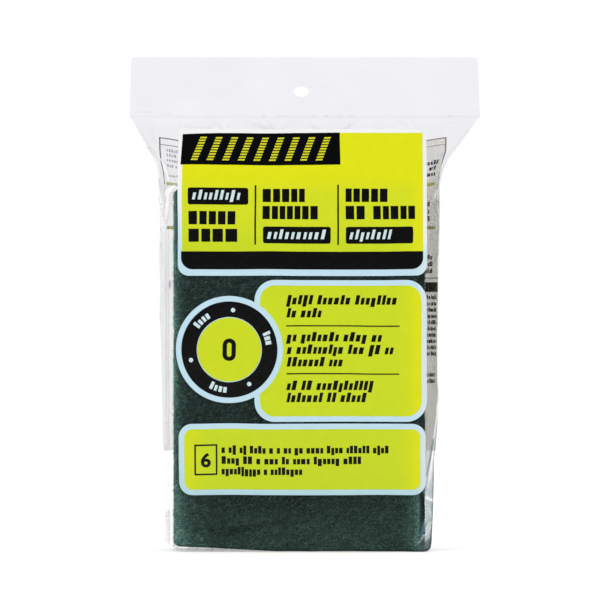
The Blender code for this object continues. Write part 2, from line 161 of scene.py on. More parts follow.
def seed_distances(u, v, seed, cell, field):
    """Squared distances from each point to seeds that are scattered over a field."""
    draws = np.random.default_rng(seed)
    count = max(4, int(field[0] * field[1] / cell ** 2))
    seeds_u = draws.uniform(-cell, field[0] + cell, count)
    seeds_v = draws.uniform(-cell, field[1] + cell, count)
    return (u[..., None] - seeds_u) ** 2 + (v[..., None] - seeds_v) ** 2


def crumple(u, v, seed, cell, field):
    """Flat facets that meet in sharp creases: the difference of two nearest distances."""
    near, other = (seed_distances(u, v, draw, cell, field).min(axis=-1) / cell ** 2
                   for draw in (seed, seed + 1))
    return near - other


def facet_draw(u, v, seed, cell, field):
    """A number between 0 and 1 for each facet."""
    chosen = seed_distances(u, v, seed, cell, field).argmin(axis=-1)
    return np.random.default_rng(seed + 7).uniform(0.0, 1.0, chosen.max() + 1)[chosen]


def fold_lines(u, v, seed, cell, field, width):
    """Thin lines where two facets of the crumpled film meet."""
    squared = seed_distances(u, v, seed, cell, field) / cell ** 2
    nearest = np.partition(squared, 1, axis=-1)
    return np.exp(-((nearest[..., 1] - nearest[..., 0]) / (4 * width)) ** 2)


def gable_place(x, level):
    """Place of a point in the field of the gable's patterns."""
    return x + 75, level - 140


def segment_distance(x, z, start, end):
    """Distance of each point from a line between two points, and how far along it the nearest place is."""
    run_x, run_z = end[0] - start[0], end[1] - start[1]
    share = ((x - start[0]) * run_x + (z - start[1]) * run_z) / (run_x ** 2 + run_z ** 2)
    share = np.clip(share, 0.0, 1.0)
    return np.hypot(x - start[0] - share * run_x, z - start[1] - share * run_z), share


# Shape of the film bag.


def section_sizes(level):
    """Centre, flat half widths, half depth and side bulge of the bag at each height."""
    foot = np.clip(level / FOOT_ROUND, 0.0, 1.0)
    pull = FOOT_ROUND * (1 - np.sqrt(1 - (1 - foot) ** 2))
    body = np.clip((level - FOOT_ROUND) / (SHOULDER - FOOT_ROUND), 0.0, 1.0)
    gable = np.clip((level - SHOULDER) / (CREASE - SHOULDER), 0.0, 1.0)
    climb = np.maximum(level - CREASE, 0.0) / math.cos(HEADER_LEAN)
    bulge = mix(SIDE_BULGE_FOOT, SIDE_BULGE_TOP, body ** SIDE_BULGE_EASE)
    bulge = mix(bulge, HEADER_EDGE_BULGE, gable)
    half = mix(BODY_HALF_WIDTH + SIDE_BULGE_TOP, HEADER_HALF_WIDTH, gable ** GABLE_EASE)
    waist = WAIST_DEPTH * np.exp(-((level - WAIST_LEVEL) / WAIST_REACH) ** 2)
    waist = waist * smoothstep(SHOULDER - 6, SHOULDER + 4, level)
    flat = np.where(level > SHOULDER, half - bulge, BODY_HALF_WIDTH) - waist
    corner_left = corner_pull(climb, HEADER_CORNER_LEFT)
    corner_right = corner_pull(climb, HEADER_CORNER_RIGHT)
    return {
        "x": mix(BODY_X, 0.0, gable),
        "y": mix(0.0, CREASE_Y, gable) + climb * math.sin(HEADER_LEAN),
        "flat_left": flat - pull - corner_left,
        "flat_right": flat - pull - corner_right,
        "depth": mix(BODY_HALF_DEPTH, HEADER_HALF_DEPTH, gable) - pull,
        "bulge": bulge,
    }


def corner_pull(climb, radius):
    """How far a rounded corner of the header draws its edge in."""
    share = np.clip((climb - HEADER_LENGTH + radius) / radius, 0.0, 1.0)
    return radius * (1 - np.sqrt(1 - share ** 2))


def film_relief(x, level, seed):
    """How far the flat film stands proud of its plane."""
    size = section_sizes(level)
    edge = np.minimum(x - size["x"] + size["flat_left"], size["x"] + size["flat_right"] - x)
    inside = smoothstep(0.0, 7.0, edge)
    ends = smoothstep(1.0, 9.0, level) * (1 - 0.8 * smoothstep(CREASE - 5.0, CREASE, level))
    broad = 0.5 + 0.5 * value_noise(x / 24 + 31, level / 31 + 17, seed)
    fine = 0.5 + 0.5 * value_noise(x / 8 + 11, level / 9 + 5, seed + 1)
    return inside * ends * (0.12 * broad + 0.05 * fine)


def foot_lift(x, level):
    """How far the soft foot rises off the floor at the left."""
    return FOOT_LIFT * smoothstep(-5.0, -54.0, x) * (1 - smoothstep(0.0, 16.0, level))


def front_y(x, level):
    size = section_sizes(level)
    return size["y"] - size["depth"] - film_relief(x, level, 3) - front_puckers(x, level)


def front_puckers(x, level):
    """Creases in the free film above the title print and beside it."""
    free = np.maximum(smoothstep(171.5, 174.0, level), smoothstep(50.5, 54.0, np.abs(x + 1.0)))
    free = free * between(SHOULDER - 2, SHOULDER + 6, CREASE - 4, CREASE, level)
    return free * 0.6 * crumple(*gable_place(x, level), *FRONT_PATTERN)


def back_y(x, level):
    size = section_sizes(level)
    rise = between(SHOULDER, SHOULDER + 7, CREASE - 5, CREASE, level)
    pucker = rise * 0.7 * crumple(*gable_place(x, level), *BACK_PATTERN)
    return size["y"] + size["depth"] + film_relief(x, level, 5) + pucker


def skin_levels():
    foot = [FOOT_ROUND * (1 - math.cos(math.pi / 2 * step / FOOT_ROWS)) for step in range(FOOT_ROWS)]
    body = np.linspace(FOOT_ROUND, SHOULDER, BODY_ROWS, endpoint=False)
    gable = np.linspace(SHOULDER, CREASE, GABLE_ROWS, endpoint=False)
    straight = HEADER_LENGTH - HEADER_CORNER_RIGHT
    climbs = list(np.linspace(0.0, straight, HEADER_ROWS, endpoint=False))
    climbs += [straight + HEADER_CORNER_RIGHT * math.sin(math.pi / 2 * step / HEADER_CORNER_ROWS)
               for step in range(HEADER_CORNER_ROWS + 1)]
    header = CREASE + np.array(climbs) * math.cos(HEADER_LEAN)
    return np.concatenate([foot, body, gable, header])


def side_run(level, size, side):
    """One rounded side of every row, from its first corner to its last, going round from above."""
    angle = np.linspace(0.0, math.pi, SIDE_COLUMNS, endpoint=False) + 0 * level
    along = angle / math.pi * SIDE_GIRTH
    seed = 61 if side > 0 else 71
    folds = 0.75 * crumple(along, level + 0 * along, seed, 15.0, SIDE_FIELD)
    folds = folds + 0.28 * crumple(along * 1.4, level + 0 * along, seed + 2, 6.5, (65.0, 180.0))
    free = np.minimum(1.0, size["bulge"] / SIDE_BULGE_TOP) * between(0.0, 8.0, CREASE - 8, CREASE, level)
    free = free * (0.3 + 0.7 * np.abs(np.cos(angle)))
    x = size["flat_right" if side > 0 else "flat_left"] + (size["bulge"] + folds * free) * np.sin(angle)
    y = -size["depth"] * np.cos(angle)
    return size["x"] + side * x, size["y"] + side * y, angle


def skin_arrays():
    """Points of the film, row by row from the foot up, with the region and turn of each."""
    level = skin_levels()[:, None]
    size = section_sizes(level)
    run = np.linspace(-1.0, 1.0, FRONT_COLUMNS, endpoint=False)[None, :]
    flat_left, flat_right = size["flat_left"], size["flat_right"]
    front_x = size["x"] + np.where(run < 0, flat_left, flat_right) * run
    back_x = size["x"] - np.where(run < 0, flat_right, flat_left) * run
    tall = level + 0 * run
    right_x, right_y, right_turn = side_run(level, size, 1)
    left_x, left_y, left_turn = side_run(level, size, -1)
    x = np.concatenate([front_x, right_x, back_x, left_x], axis=1)
    y = np.concatenate([front_y(front_x, tall), right_y, back_y(back_x, tall), left_y], axis=1)
    region = np.concatenate([0 * tall, 0 * right_x + 1, 0 * tall + 2, 0 * left_x + 3], axis=1)
    turn = np.concatenate([0 * tall, right_turn, 0 * tall, left_turn], axis=1)
    z = level + 0 * x
    return x, y, z + foot_lift(x, z), region, turn


SKIN_X, SKIN_Y, SKIN_Z, SKIN_REGION, SKIN_TURN = skin_arrays()


# The back film as a strip that runs round from the left side to the right one.

PANEL_CENTRE_X = -0.8


def back_strip():
    """Rows of the film from the middle of the left side, over the back, to the right side."""
    columns = SKIN_X.shape[1]
    first = FRONT_COLUMNS + SIDE_COLUMNS // 3
    last = columns - SIDE_COLUMNS // 3
    pick = np.arange(last, first, -1)
    x, y = SKIN_X[:, pick], SKIN_Y[:, pick]
    length = np.cumsum(np.hypot(np.diff(x, axis=1), np.diff(y, axis=1)), axis=1)
    length = np.concatenate([np.zeros((len(x), 1)), length], axis=1)
    back = (y > 0) | (np.abs(x) < 40)
    zero = [np.interp(PANEL_CENTRE_X, x[row][back[row]], length[row][back[row]]) for row in range(len(x))]
    return x, y, length - np.array(zero)[:, None]


STRIP_X, STRIP_Y, STRIP_LENGTH = back_strip()
STRIP_LEVELS = skin_levels()


def back_point(along, level, stand):
    """Point on the back film, a distance round it from the middle line and a height, standing off it."""
    row = np.interp(level, STRIP_LEVELS, np.arange(len(STRIP_LEVELS)))
    low = int(min(row, len(STRIP_LEVELS) - 2))
    share = row - low

    def place(index, distance):
        return [np.interp(distance, STRIP_LENGTH[index], strip[index]) for strip in (STRIP_X, STRIP_Y)]

    (low_x, low_y), (high_x, high_y) = place(low, along), place(low + 1, along)
    (behind_x, behind_y), (ahead_x, ahead_y) = place(low, along - 0.5), place(low, along + 0.5)
    run = math.hypot(ahead_x - behind_x, ahead_y - behind_y)
    outward_x, outward_y = -(ahead_y - behind_y) / run, (ahead_x - behind_x) / run
    return ((1 - share) * low_x + share * high_x + outward_x * stand,
            (1 - share) * low_y + share * high_y + outward_y * stand, level)


# Meshes and materials.


def add_object(name, data):
    obj = bpy.data.objects.new(name, data)
    bpy.context.scene.collection.objects.link(obj)
    return obj


def mesh_object(name, points, faces, material, tones, smooth=True):
    mesh = bpy.data.meshes.new(name)
    mesh.from_pydata((np.asarray(points, float).reshape(-1, 3) * MM).tolist(), [], faces)
    if smooth:
        mesh.shade_smooth()
    mesh.materials.append(material)
    paint(mesh, tones)
    return add_object(name, mesh)


def shape_object(name, shape):
    """Object made of a bmesh, which is freed."""
    mesh = bpy.data.meshes.new(name)
    shape.to_mesh(mesh)
    shape.free()
    return add_object(name, mesh)


def evaluated_mesh(obj):
    """Mesh of an object as its modifiers or its curve make it."""
    bpy.context.view_layer.update()
    return bpy.data.meshes.new_from_object(obj.evaluated_get(bpy.context.evaluated_depsgraph_get()))


def curve_shape(curve, merge):
    """Bmesh of a filled curve, with points that are closer than a distance made one."""
    flat = add_object(curve.name + "_outline", curve)
    mesh = evaluated_mesh(flat)
    bpy.data.objects.remove(flat, do_unlink=True)
    shape = bmesh.new()
    shape.from_mesh(mesh)
    bpy.data.meshes.remove(mesh)
    bmesh.ops.remove_doubles(shape, verts=shape.verts, dist=merge)
    return shape


def paint(mesh, tones):
    """Colour and opacity of each point, or of all, which the material reads. Without opacity it is opaque."""
    tones = np.asarray(tones, float)
    tones = tones.reshape(-1, tones.shape[-1])
    rows = np.ones((len(mesh.vertices), 4), np.float32)
    rows[:, :tones.shape[-1]] = tones
    mesh.attributes.new("tone", "FLOAT_COLOR", "POINT").data.foreach_set("color", rows.ravel())


def grid_faces(rows, columns, closed):
    """Quads of a grid of points, whose columns close round on themselves if asked."""
    steps = np.arange(columns if closed else columns - 1)
    start = np.arange(rows - 1)[:, None] * columns
    low, ahead = (start + steps).ravel(), (start + (steps + 1) % columns).ravel()
    return np.stack([low, ahead, ahead + columns, low + columns], axis=1).tolist()


def prism_faces(base, count):
    """Faces of a flat piece whose two outlines follow one another among the points."""
    faces = [[base + step for step in range(count)], [base + count + step for step in reversed(range(count))]]
    for step in range(count):
        ahead = (step + 1) % count
        faces.append([base + ahead, base + step, base + count + step, base + count + ahead])
    return faces


def settle(obj, slot, *nodes):
    """The piece rides on the one body and stands for CAD nodes, which are hidden. Its slot is not used."""
    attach(obj, "root")
    if nodes:
        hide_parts(*nodes)
    return obj


def linear(red, green, blue):
    """Linear colour of an 8-bit sRGB one."""
    shares = [value / 255 for value in (red, green, blue)]
    return tuple(share / 12.92 if share <= 0.04045 else ((share + 0.055) / 1.055) ** 2.4 for share in shares)


class Net:
    """Nodes of a material or of the world, and the main node that they feed."""

    def __init__(self, owner, main="Principled BSDF"):
        owner.use_nodes = True
        self.owner = owner
        self.nodes, self.links = owner.node_tree.nodes, owner.node_tree.links
        self.main = self.nodes[main]

    def feed(self, node, inputs):
        """Give inputs of a node plain values, or link them to outputs of others."""
        for name, value in inputs.items():
            if isinstance(value, bpy.types.NodeSocket):
                self.links.new(value, node.inputs[name])
            else:
                node.inputs[name].default_value = value

    def add(self, kind, inputs, operation=None):
        node = self.nodes.new("ShaderNode" + kind)
        if operation:
            node.operation = operation
        self.feed(node, inputs)
        return node

    def combine(self, operation, first, second):
        return self.add("Math", {0: first, 1: second}, operation).outputs[0]

    def spread(self, value, low, high, start, end):
        """The value's place between low and high, as a place between start and end."""
        inputs = {"Value": value, "From Min": low, "From Max": high, "To Min": start, "To Max": end}
        return self.add("MapRange", inputs).outputs[0]

    def tone(self):
        """Colour and opacity painted on the points."""
        node = self.add("Attribute", {})
        node.attribute_name = "tone"
        return node.outputs["Color"], node.outputs["Alpha"]

    def noise(self, scale, detail=2.0, turn=0.0, stretch=None):
        """Noise in the object's own space, turned about Y and stretched if asked."""
        place = self.add("TexCoord", {}).outputs["Object"]
        if stretch:
            inputs = {"Vector": place, "Rotation": (0.0, math.radians(turn), 0.0), "Scale": stretch}
            place = self.add("Mapping", inputs).outputs["Vector"]
        return self.add("TexNoise", {"Vector": place, "Scale": scale, "Detail": detail}).outputs["Fac"]

    def shade(self, colour, noise, low, high):
        """The colour times a factor that runs from low to high with the noise."""
        factor = self.spread(noise, 0.3, 0.7, low, high)
        return self.add("VectorMath", {0: colour, "Scale": factor}, "SCALE").outputs["Vector"]

    def bump(self, height, distance, strength=1.0):
        bump = self.add("Bump", {"Height": height, "Distance": distance, "Strength": strength})
        self.feed(self.main, {"Normal": bump.outputs["Normal"]})


def new_material(name, roughness, specular):
    net = Net(bpy.data.materials.new(name))
    net.feed(net.main, {"Roughness": roughness, "Specular IOR Level": specular})
    return net


def film_material():
    """Clear film. Where it is painted hazy or dark, it has less gloss."""
    net = new_material("clear_film", 0.14, 0.18)
    colour, opacity = net.tone()
    cloud = net.spread(net.noise(90.0, 3.0), 0.3, 0.7, 0.9, 1.1)
    net.feed(net.main, {"Base Color": colour, "Alpha": net.combine("MULTIPLY", opacity, cloud),
                        "Specular IOR Level": net.spread(opacity, 0.12, 0.25, 0.18, 0.0)})
    net.bump(net.noise(420.0), 0.00012)
    return net.owner


def ink_material(name, roughness=0.22, opaque=True, glow_through=0.0):
    """Ink that shows the colour painted on its points, a little uneven. Light can come through thin ink."""
    net = new_material(name, roughness, 0.2)
    colour, opacity = net.tone()
    net.feed(net.main, {"Subsurface Weight": glow_through, "Subsurface Radius": (1.0, 1.0, 1.0),
                        "Subsurface Scale": 0.002,
                        "Base Color": net.shade(colour, net.noise(260.0, 3.0), 0.985, 1.015)})
    if not opaque:
        net.feed(net.main, {"Alpha": opacity})
    net.bump(net.noise(500.0), 0.00004)
    return net.owner


def pad_material():
    """Matted web: dark pores, crossing streaks of fibre and soft lighter clouds."""
    net = new_material("fibre_web", 0.9, 0.12)
    colour, _ = net.tone()
    pores = net.noise(1700.0, 3.0)
    web = net.combine("MAXIMUM", net.noise(1.0, 3.0, 40, (260.0, 900.0, 2300.0)),
                      net.noise(1.0, 3.0, -28, (300.0, 900.0, 2100.0)))
    for noise, low, high in ((pores, 0.3, 1.75), (web, 0.45, 1.6), (net.noise(110.0, 3.0), 0.82, 1.18)):
        colour = net.shade(colour, noise, low, high)
    net.feed(net.main, {"Base Color": colour})
    net.bump(net.combine("ADD", pores, web), 0.0004, 0.8)
    return net.owner


def strand_material():
    net = new_material("fibre_strand", 0.6, 0.25)
    colour, _ = net.tone()
    net.feed(net.main, {"Base Color": net.shade(colour, net.noise(900.0), 0.7, 1.3)})
    return net.owner


# Film bag.

# Regions of the film going round, and the radius that turns a side's angle into a length.
FRONT_REGION, RIGHT_REGION, BACK_REGION, LEFT_REGION = 0, 1, 2, 3
SIDE_RADIUS = 14.0

# Tones of creases and facets. WHITE paints highlights on folds, and DARK, TEAL and SHADE paint shade in the
# folds low on the right.
GREY = (0.10, 0.12, 0.14)
SLATE = (0.10, 0.16, 0.20)
DARK = (0.05, 0.08, 0.085)
TEAL = (0.12, 0.22, 0.24)
SHADE = (0.075, 0.115, 0.11)
INDIGO = (0.10, 0.14, 0.28)
WHITE = (0.97, 0.97, 0.98)

# Creases and glints seen from the front: start and end in pixels, half width, tone and opacity. The white
# glints are painted highlights, and the dark, teal and shade lines low on the right are painted shade in the
# folds.
CREASES = (
    ((143.0, 145.0), (158.5, 156.5), 0.55, WHITE, 0.90),
    ((158.5, 156.5), (163.5, 163.0), 0.45, WHITE, 0.65),
    ((163.5, 163.0), (170.0, 181.5), 0.65, WHITE, 0.85),
    ((169.5, 191.0), (177.0, 186.0), 0.75, WHITE, 0.90),
    ((166.5, 197.0), (171.5, 188.0), 1.30, WHITE, 0.92),
    ((166.5, 222.0), (169.0, 195.0), 0.90, WHITE, 0.92),
    ((171.0, 281.0), (170.5, 288.0), 0.55, INDIGO, 0.75),
    ((163.0, 248.0), (163.6, 262.0), 0.60, INDIGO, 0.14),
    ((163.0, 295.0), (163.6, 330.0), 0.60, INDIGO, 0.14),
    ((144.0, 146.0), (161.0, 175.0), 0.40, GREY, 0.16),
    ((130.0, 111.0), (160.0, 113.5), 0.35, GREY, 0.14),
    ((160.0, 113.5), (185.0, 117.0), 0.35, GREY, 0.14),
    ((161.2, 190.0), (161.6, 470.0), 0.35, GREY, 0.13),
    ((161.6, 470.0), (166.0, 508.0), 0.35, GREY, 0.13),
    ((166.5, 226.0), (167.0, 505.0), 0.30, SLATE, 0.22),
    ((169.6, 226.0), (169.8, 540.0), 0.28, SLATE, 0.26),
    ((168.0, 262.0), (168.2, 470.0), 0.22, SLATE, 0.18),
    ((438.0, 186.0), (433.0, 200.0), 0.45, WHITE, 0.60),
    ((441.0, 165.0), (436.0, 190.0), 0.50, GREY, 0.18),
    ((437.0, 420.0), (427.0, 486.0), 0.40, DARK, 0.36),
    ((434.0, 460.0), (425.5, 488.0), 0.35, DARK, 0.45),
    ((424.5, 493.5), (434.0, 498.5), 0.32, DARK, 0.50),
    ((424.5, 495.5), (434.0, 500.5), 0.28, WHITE, 0.30),
    ((427.5, 506.0), (433.0, 521.0), 0.35, TEAL, 0.38),
    ((424.5, 532.0), (416.5, 542.0), 0.24, WHITE, 0.50),
    ((417.0, 542.0), (419.0, 551.0), 0.32, TEAL, 0.45),
    ((432.5, 527.0), (420.0, 544.0), 0.35, SHADE, 0.50),
)

# Flat facets of the pinched film beside the foot and the shoulder: corners in pixels, tone and opacity. Low
# on the right their tones are painted shade on the folds; the white one at the right shoulder is a painted
# highlight.
FACETS = (
    (((438.0, 418.0), (436.0, 428.0), (424.0, 494.0), (440.0, 494.0)), TEAL, 0.62),
    (((434.5, 436.0), (425.0, 492.0), (422.0, 492.0), (431.0, 440.0)), TEAL, 0.80),
    (((434.5, 470.0), (437.0, 500.0), (424.5, 493.0)), TEAL, 0.62),
    (((423.5, 494.0), (437.0, 499.5), (437.0, 521.0), (424.0, 521.0)), TEAL, 0.62),
    (((428.0, 520.0), (434.0, 520.0), (417.0, 545.0), (419.0, 540.0)), TEAL, 0.50),
    (((428.0, 520.0), (421.0, 520.0), (419.0, 540.0)), TEAL, 0.72),
    (((437.0, 520.0), (437.0, 534.0), (417.0, 545.0), (432.0, 524.0)), TEAL, 0.80),
    (((437.0, 532.0), (435.0, 556.0), (414.0, 556.0), (416.5, 543.5)), SHADE, 0.94),
    (((442.0, 172.0), (442.5, 216.0), (435.0, 190.0)), WHITE, 0.30),
)


def pixel_point(pixel_x, pixel_y, behind=20.0):
    """Place across and up of a pixel of the photograph, for a point behind the front film."""
    size = PIXEL_SIZE * (1 + behind / CAMERA_DISTANCE)
    return CAMERA_X + (pixel_x - FRAME_PIXELS / 2) * size, CAMERA_LEVEL + (FRAME_PIXELS / 2 - pixel_y) * size


def polygon_share(x, z, corners):
    """How far inside a convex outline each point lies, from 0 outside to 1."""
    sides = list(zip(corners, corners[1:] + corners[:1]))
    turn = 1.0 if sum(here[0] * there[1] - there[0] * here[1] for here, there in sides) > 0 else -1.0
    depth = np.full(x.shape, 1e9)
    for here, there in sides:
        run_x, run_z = there[0] - here[0], there[1] - here[1]
        beside = turn * (run_x * (z - here[1]) - run_z * (x - here[0])) / math.hypot(run_x, run_z)
        depth = np.minimum(depth, beside)
    return smoothstep(-0.25, 0.35, depth)


def film_tones():
    """Colour and opacity of the film: clear, hazier where it turns away, with creases and facets, and with
    painted highlights and painted shade on its folds.
    """
    x, z, region, turn = SKIN_X, SKIN_Z, SKIN_REGION, SKIN_TURN
    on_side = region % 2
    side = np.sin(turn) * on_side
    over_pads = (on_side == 0) * (1 - smoothstep(SHOULDER - 1.0, SHOULDER + 1.5, z))
    opacity = mix(CLEAR_OPACITY, FRONT_OPACITY, over_pads)
    colour = blend(CLEAR_TONE, FRONT_TONE, over_pads)
    colour = blend(colour, GABLE_TONE, between(SHOULDER, SHOULDER + 2.0, CREASE - 8, CREASE, z))
    below = (1 - smoothstep(SHOULDER + 2, SHOULDER + 14, z)) * on_side
    colour = blend(colour, np.where((x > 0)[..., None], RIGHT_TONE, LEFT_TONE), below)
    free_side = side * between(2.0, 12.0, CREASE - 10, CREASE, z)
    along = turn * SIDE_RADIUS
    facets = facet_draw(along, z, 61, 9.0, SIDE_FIELD) ** 2
    low_side = side * (1 - smoothstep(20.0, 70.0, z))
    opacity = opacity + 0.035 * free_side + 0.05 * facets * free_side + 0.03 * low_side
    gable = between(SHOULDER, SHOULDER + 6, CREASE - 6, CREASE, z)
    opacity = opacity + 0.008 * gable
    opacity = opacity + 0.02 * gable * facet_draw(*gable_place(x, z), *FRONT_PATTERN)
    folds = fold_lines(along, z, 61, 15.0, SIDE_FIELD, 0.020) * free_side
    folds = folds * np.where(x > 0, smoothstep(45.0, 65.0, z), 1.0)
    for pattern, strength, face in ((FRONT_PATTERN, 0.6, FRONT_REGION), (BACK_PATTERN, 1.0, BACK_REGION)):
        folds = folds + strength * fold_lines(*gable_place(x, z), *pattern, 0.016) * gable * (region == face)
    # White fold lines: partly the whitening of creased film, partly painted highlights along the folds.
    opacity = opacity + 0.16 * folds
    colour = blend(colour, WHITE, np.minimum(1.0, 0.9 * folds))
    blotch = value_noise(x / 16 + 50, z / 12 + 20, 91)
    opacity = opacity * (1 + 0.10 * blotch)
    near = (region == RIGHT_REGION) * (1 - smoothstep(math.pi / 2, math.pi / 2 + 0.7, turn))
    near = near + ((region == FRONT_REGION) & (x > 40))
    # Facets: painted shade on the folds low on the right, and a painted highlight at the right shoulder.
    for corners, tone, strength in FACETS:
        amount = near * polygon_share(x, z, [pixel_point(*corner) for corner in corners])
        opacity = mix(opacity, strength, amount)
        colour = blend(colour, tone, np.minimum(1.0, amount * 1.5))
    weld = np.exp(-((z - CREASE + 0.2) / 0.35) ** 2)
    dots = smoothstep(0.45, 0.9, value_noise(x / 0.8 + 90, 0 * z + 3.5, 95, 256))
    dots = dots * np.exp(-((z - CREASE) / 0.35) ** 2) * (x < 60)
    opacity = opacity + 0.04 * weld + 0.10 * dots
    facing = (region == RIGHT_REGION) * (1 - smoothstep(math.pi * 0.42, math.pi * 0.54, turn))
    facing = facing + (region == LEFT_REGION) * smoothstep(math.pi * 0.46, math.pi * 0.58, turn)
    facing = facing + (region == FRONT_REGION)
    # Paint the creases: white glints as painted highlights, dark lines low on the right as painted shade.
    for start, end, width, tone, strength in CREASES:
        distance, share = segment_distance(x, z, pixel_point(*start), pixel_point(*end))
        amount = np.exp(-(distance / width) ** 2) * facing * (0.35 + 0.65 * np.sin(math.pi * share) ** 0.5)
        opacity = mix(opacity, strength, amount)
        colour = blend(colour, tone, np.minimum(1.0, amount * 1.6))
    return np.concatenate([colour, np.clip(opacity, 0.03, 0.95)[..., None]], axis=-1)


def make_film(material):
    rows, columns = SKIN_X.shape
    points = np.stack([SKIN_X, SKIN_Y, SKIN_Z], axis=-1)
    faces = grid_faces(rows, columns, True)
    faces.append(list(range(columns))[::-1])
    faces.append(list(range((rows - 1) * columns, rows * columns)))
    film = mesh_object("film_bag", points, faces, material, film_tones())
    punch_hole(film)
    return settle(film, "film", "bag")


def punch_hole(film):
    """Hang hole through both plies. It is a little longer, as the real plies are thinner than the solid's."""
    radius = HANG_HOLE_DIAMETER / 2 * MM
    shape = bmesh.new()
    bmesh.ops.create_cone(shape, cap_ends=True, segments=HOLE_STEPS, radius1=radius, radius2=radius,
                          depth=4 * HEADER_THICKNESS * MM)
    punch = shape_object("punch", shape)
    back, up = math.sin(HEADER_LEAN), math.cos(HEADER_LEAN)
    centre = Vector((HANG_HOLE_X, CREASE_Y + HANG_HOLE_RISE * back, CREASE + HANG_HOLE_RISE * up)) * MM
    punch.location = centre
    punch.rotation_euler = Vector((0.0, -up, back)).to_track_quat("Z", "Y").to_euler()
    punch.scale = (1.0, HOLE_STRETCH, 1.0)
    cut = film.modifiers.new("Hole", "BOOLEAN")
    cut.operation = "DIFFERENCE"
    cut.object = punch
    holed = evaluated_mesh(film)
    film.modifiers.remove(cut)
    film.data = holed
    tones = holed.attributes["tone"].data
    for point in holed.vertices:
        if (point.co - centre).length < 0.7 * HANG_HOLE_DIAMETER * MM:
            tones[point.index].color = (*CLEAR_TONE, CLEAR_OPACITY)
    holed.shade_smooth()
    holed.set_sharp_from_angle(angle=math.radians(40))
    bpy.data.objects.remove(punch, do_unlink=True)


def make_ear(material):
    """Two-ply tab that stands out beside the foot, split by a slit near its top."""
    root = BODY_X - BODY_HALF_WIDTH - 1.2
    lobes = (
        [(root, 1.6), (root, 12.7), (EAR_TIP, 12.5), (EAR_TIP, 3.2)],
        [(root, 12.95), (root, 16.2), (root - 1.2, 16.0), (EAR_TIP, 15.0), (EAR_TIP, 12.75)],
    )
    points, faces = [], []
    for lobe in lobes:
        faces += prism_faces(len(points), len(lobe))
        points += [(x, y, z) for y in (-0.25, 0.25) for x, z in lobe]
    ear = mesh_object("film_ear", points, faces, material, (*CLEAR_TONE, 0.10), smooth=False)
    return settle(ear, "film")


# Pads.

PAD_TONE = (0.0088, 0.0182, 0.0150)
# Lighter teal that the pad's colour is drawn toward: painted light at the left rim, and the paler places
# elsewhere.
PAD_EDGE_TONE = (0.115, 0.235, 0.195)
PAD_SAG = 0.6
RIM = 1.5
CORNER = 2.6
PAD_SWELL = 0.12
RIM_SET_BACK = 0.22

# Pressed streak near the foot of the front pad, in pixels, and its half widths. It is dented and painted
# darker, as painted shade in the dent.
STREAK = ((211.0, 531.0), (226.0, 533.0), (252.0, 527.0), (284.0, 520.5))
STREAK_WIDTHS = (1.1, 1.2, 0.6)

# Paler line up the right side, and paler spots: start and end in pixels, half width and strength.
PALE_LINE_X = 45.6
PALE_SPOTS = (
    ((191.0, 500.0), (197.0, 511.0), 0.45, 0.35),
    ((198.0, 536.0), (202.0, 541.0), 0.50, 0.40),
    ((199.0, 545.0), (208.0, 547.0), 0.60, 0.28),
    ((177.0, 535.0), (189.0, 547.0), 2.60, 0.30),
    ((183.0, 394.0), (186.0, 402.0), 0.40, 0.22),
)


def pad_lines(length):
    """Places of the grid's lines along one side of a pad, closer together near its ends."""
    near = [0.0, 0.12, 0.35, 0.7, 1.1, RIM, 2.0, 2.7]
    middle = np.linspace(3.5, length - 3.5, int((length - 7) / 1.25))
    return np.concatenate([near, middle, [length - value for value in reversed(near)]])


def rim_distance(across, up, width, height):
    """Distance in from the rounded outline, and the point drawn in to that outline."""
    half_x, half_z = width / 2 - CORNER, height / 2 - CORNER
    reach_x = np.maximum(np.abs(across) - half_x, 0.0)
    reach_z = np.maximum(np.abs(up) - half_z, 0.0)
    reach = np.hypot(reach_x, reach_z)
    over = np.where(reach > CORNER, CORNER / np.maximum(reach, 1e-9), 1.0)
    drawn_x = np.sign(across) * (np.minimum(np.abs(across), half_x) + reach_x * over)
    drawn_z = np.sign(up) * (np.minimum(np.abs(up), half_z) + reach_z * over)
    straight = np.minimum(width / 2 - np.abs(across), height / 2 - np.abs(up))
    rounded = np.maximum(CORNER - reach, 0.0)
    inside = np.where((reach_x > 0) & (reach_z > 0), rounded, straight)
    return np.maximum(inside, 0.0), drawn_x, drawn_z


def streak_amount(x, z):
    """How deep in the pressed streak near the foot of the front pad each point lies."""
    amount = 0 * x
    for start, end, width in zip(STREAK, STREAK[1:], STREAK_WIDTHS):
        distance, _ = segment_distance(x, z, pixel_point(*start, 1), pixel_point(*end, 1))
        amount = np.maximum(amount, np.exp(-(distance / width) ** 2))
    return amount


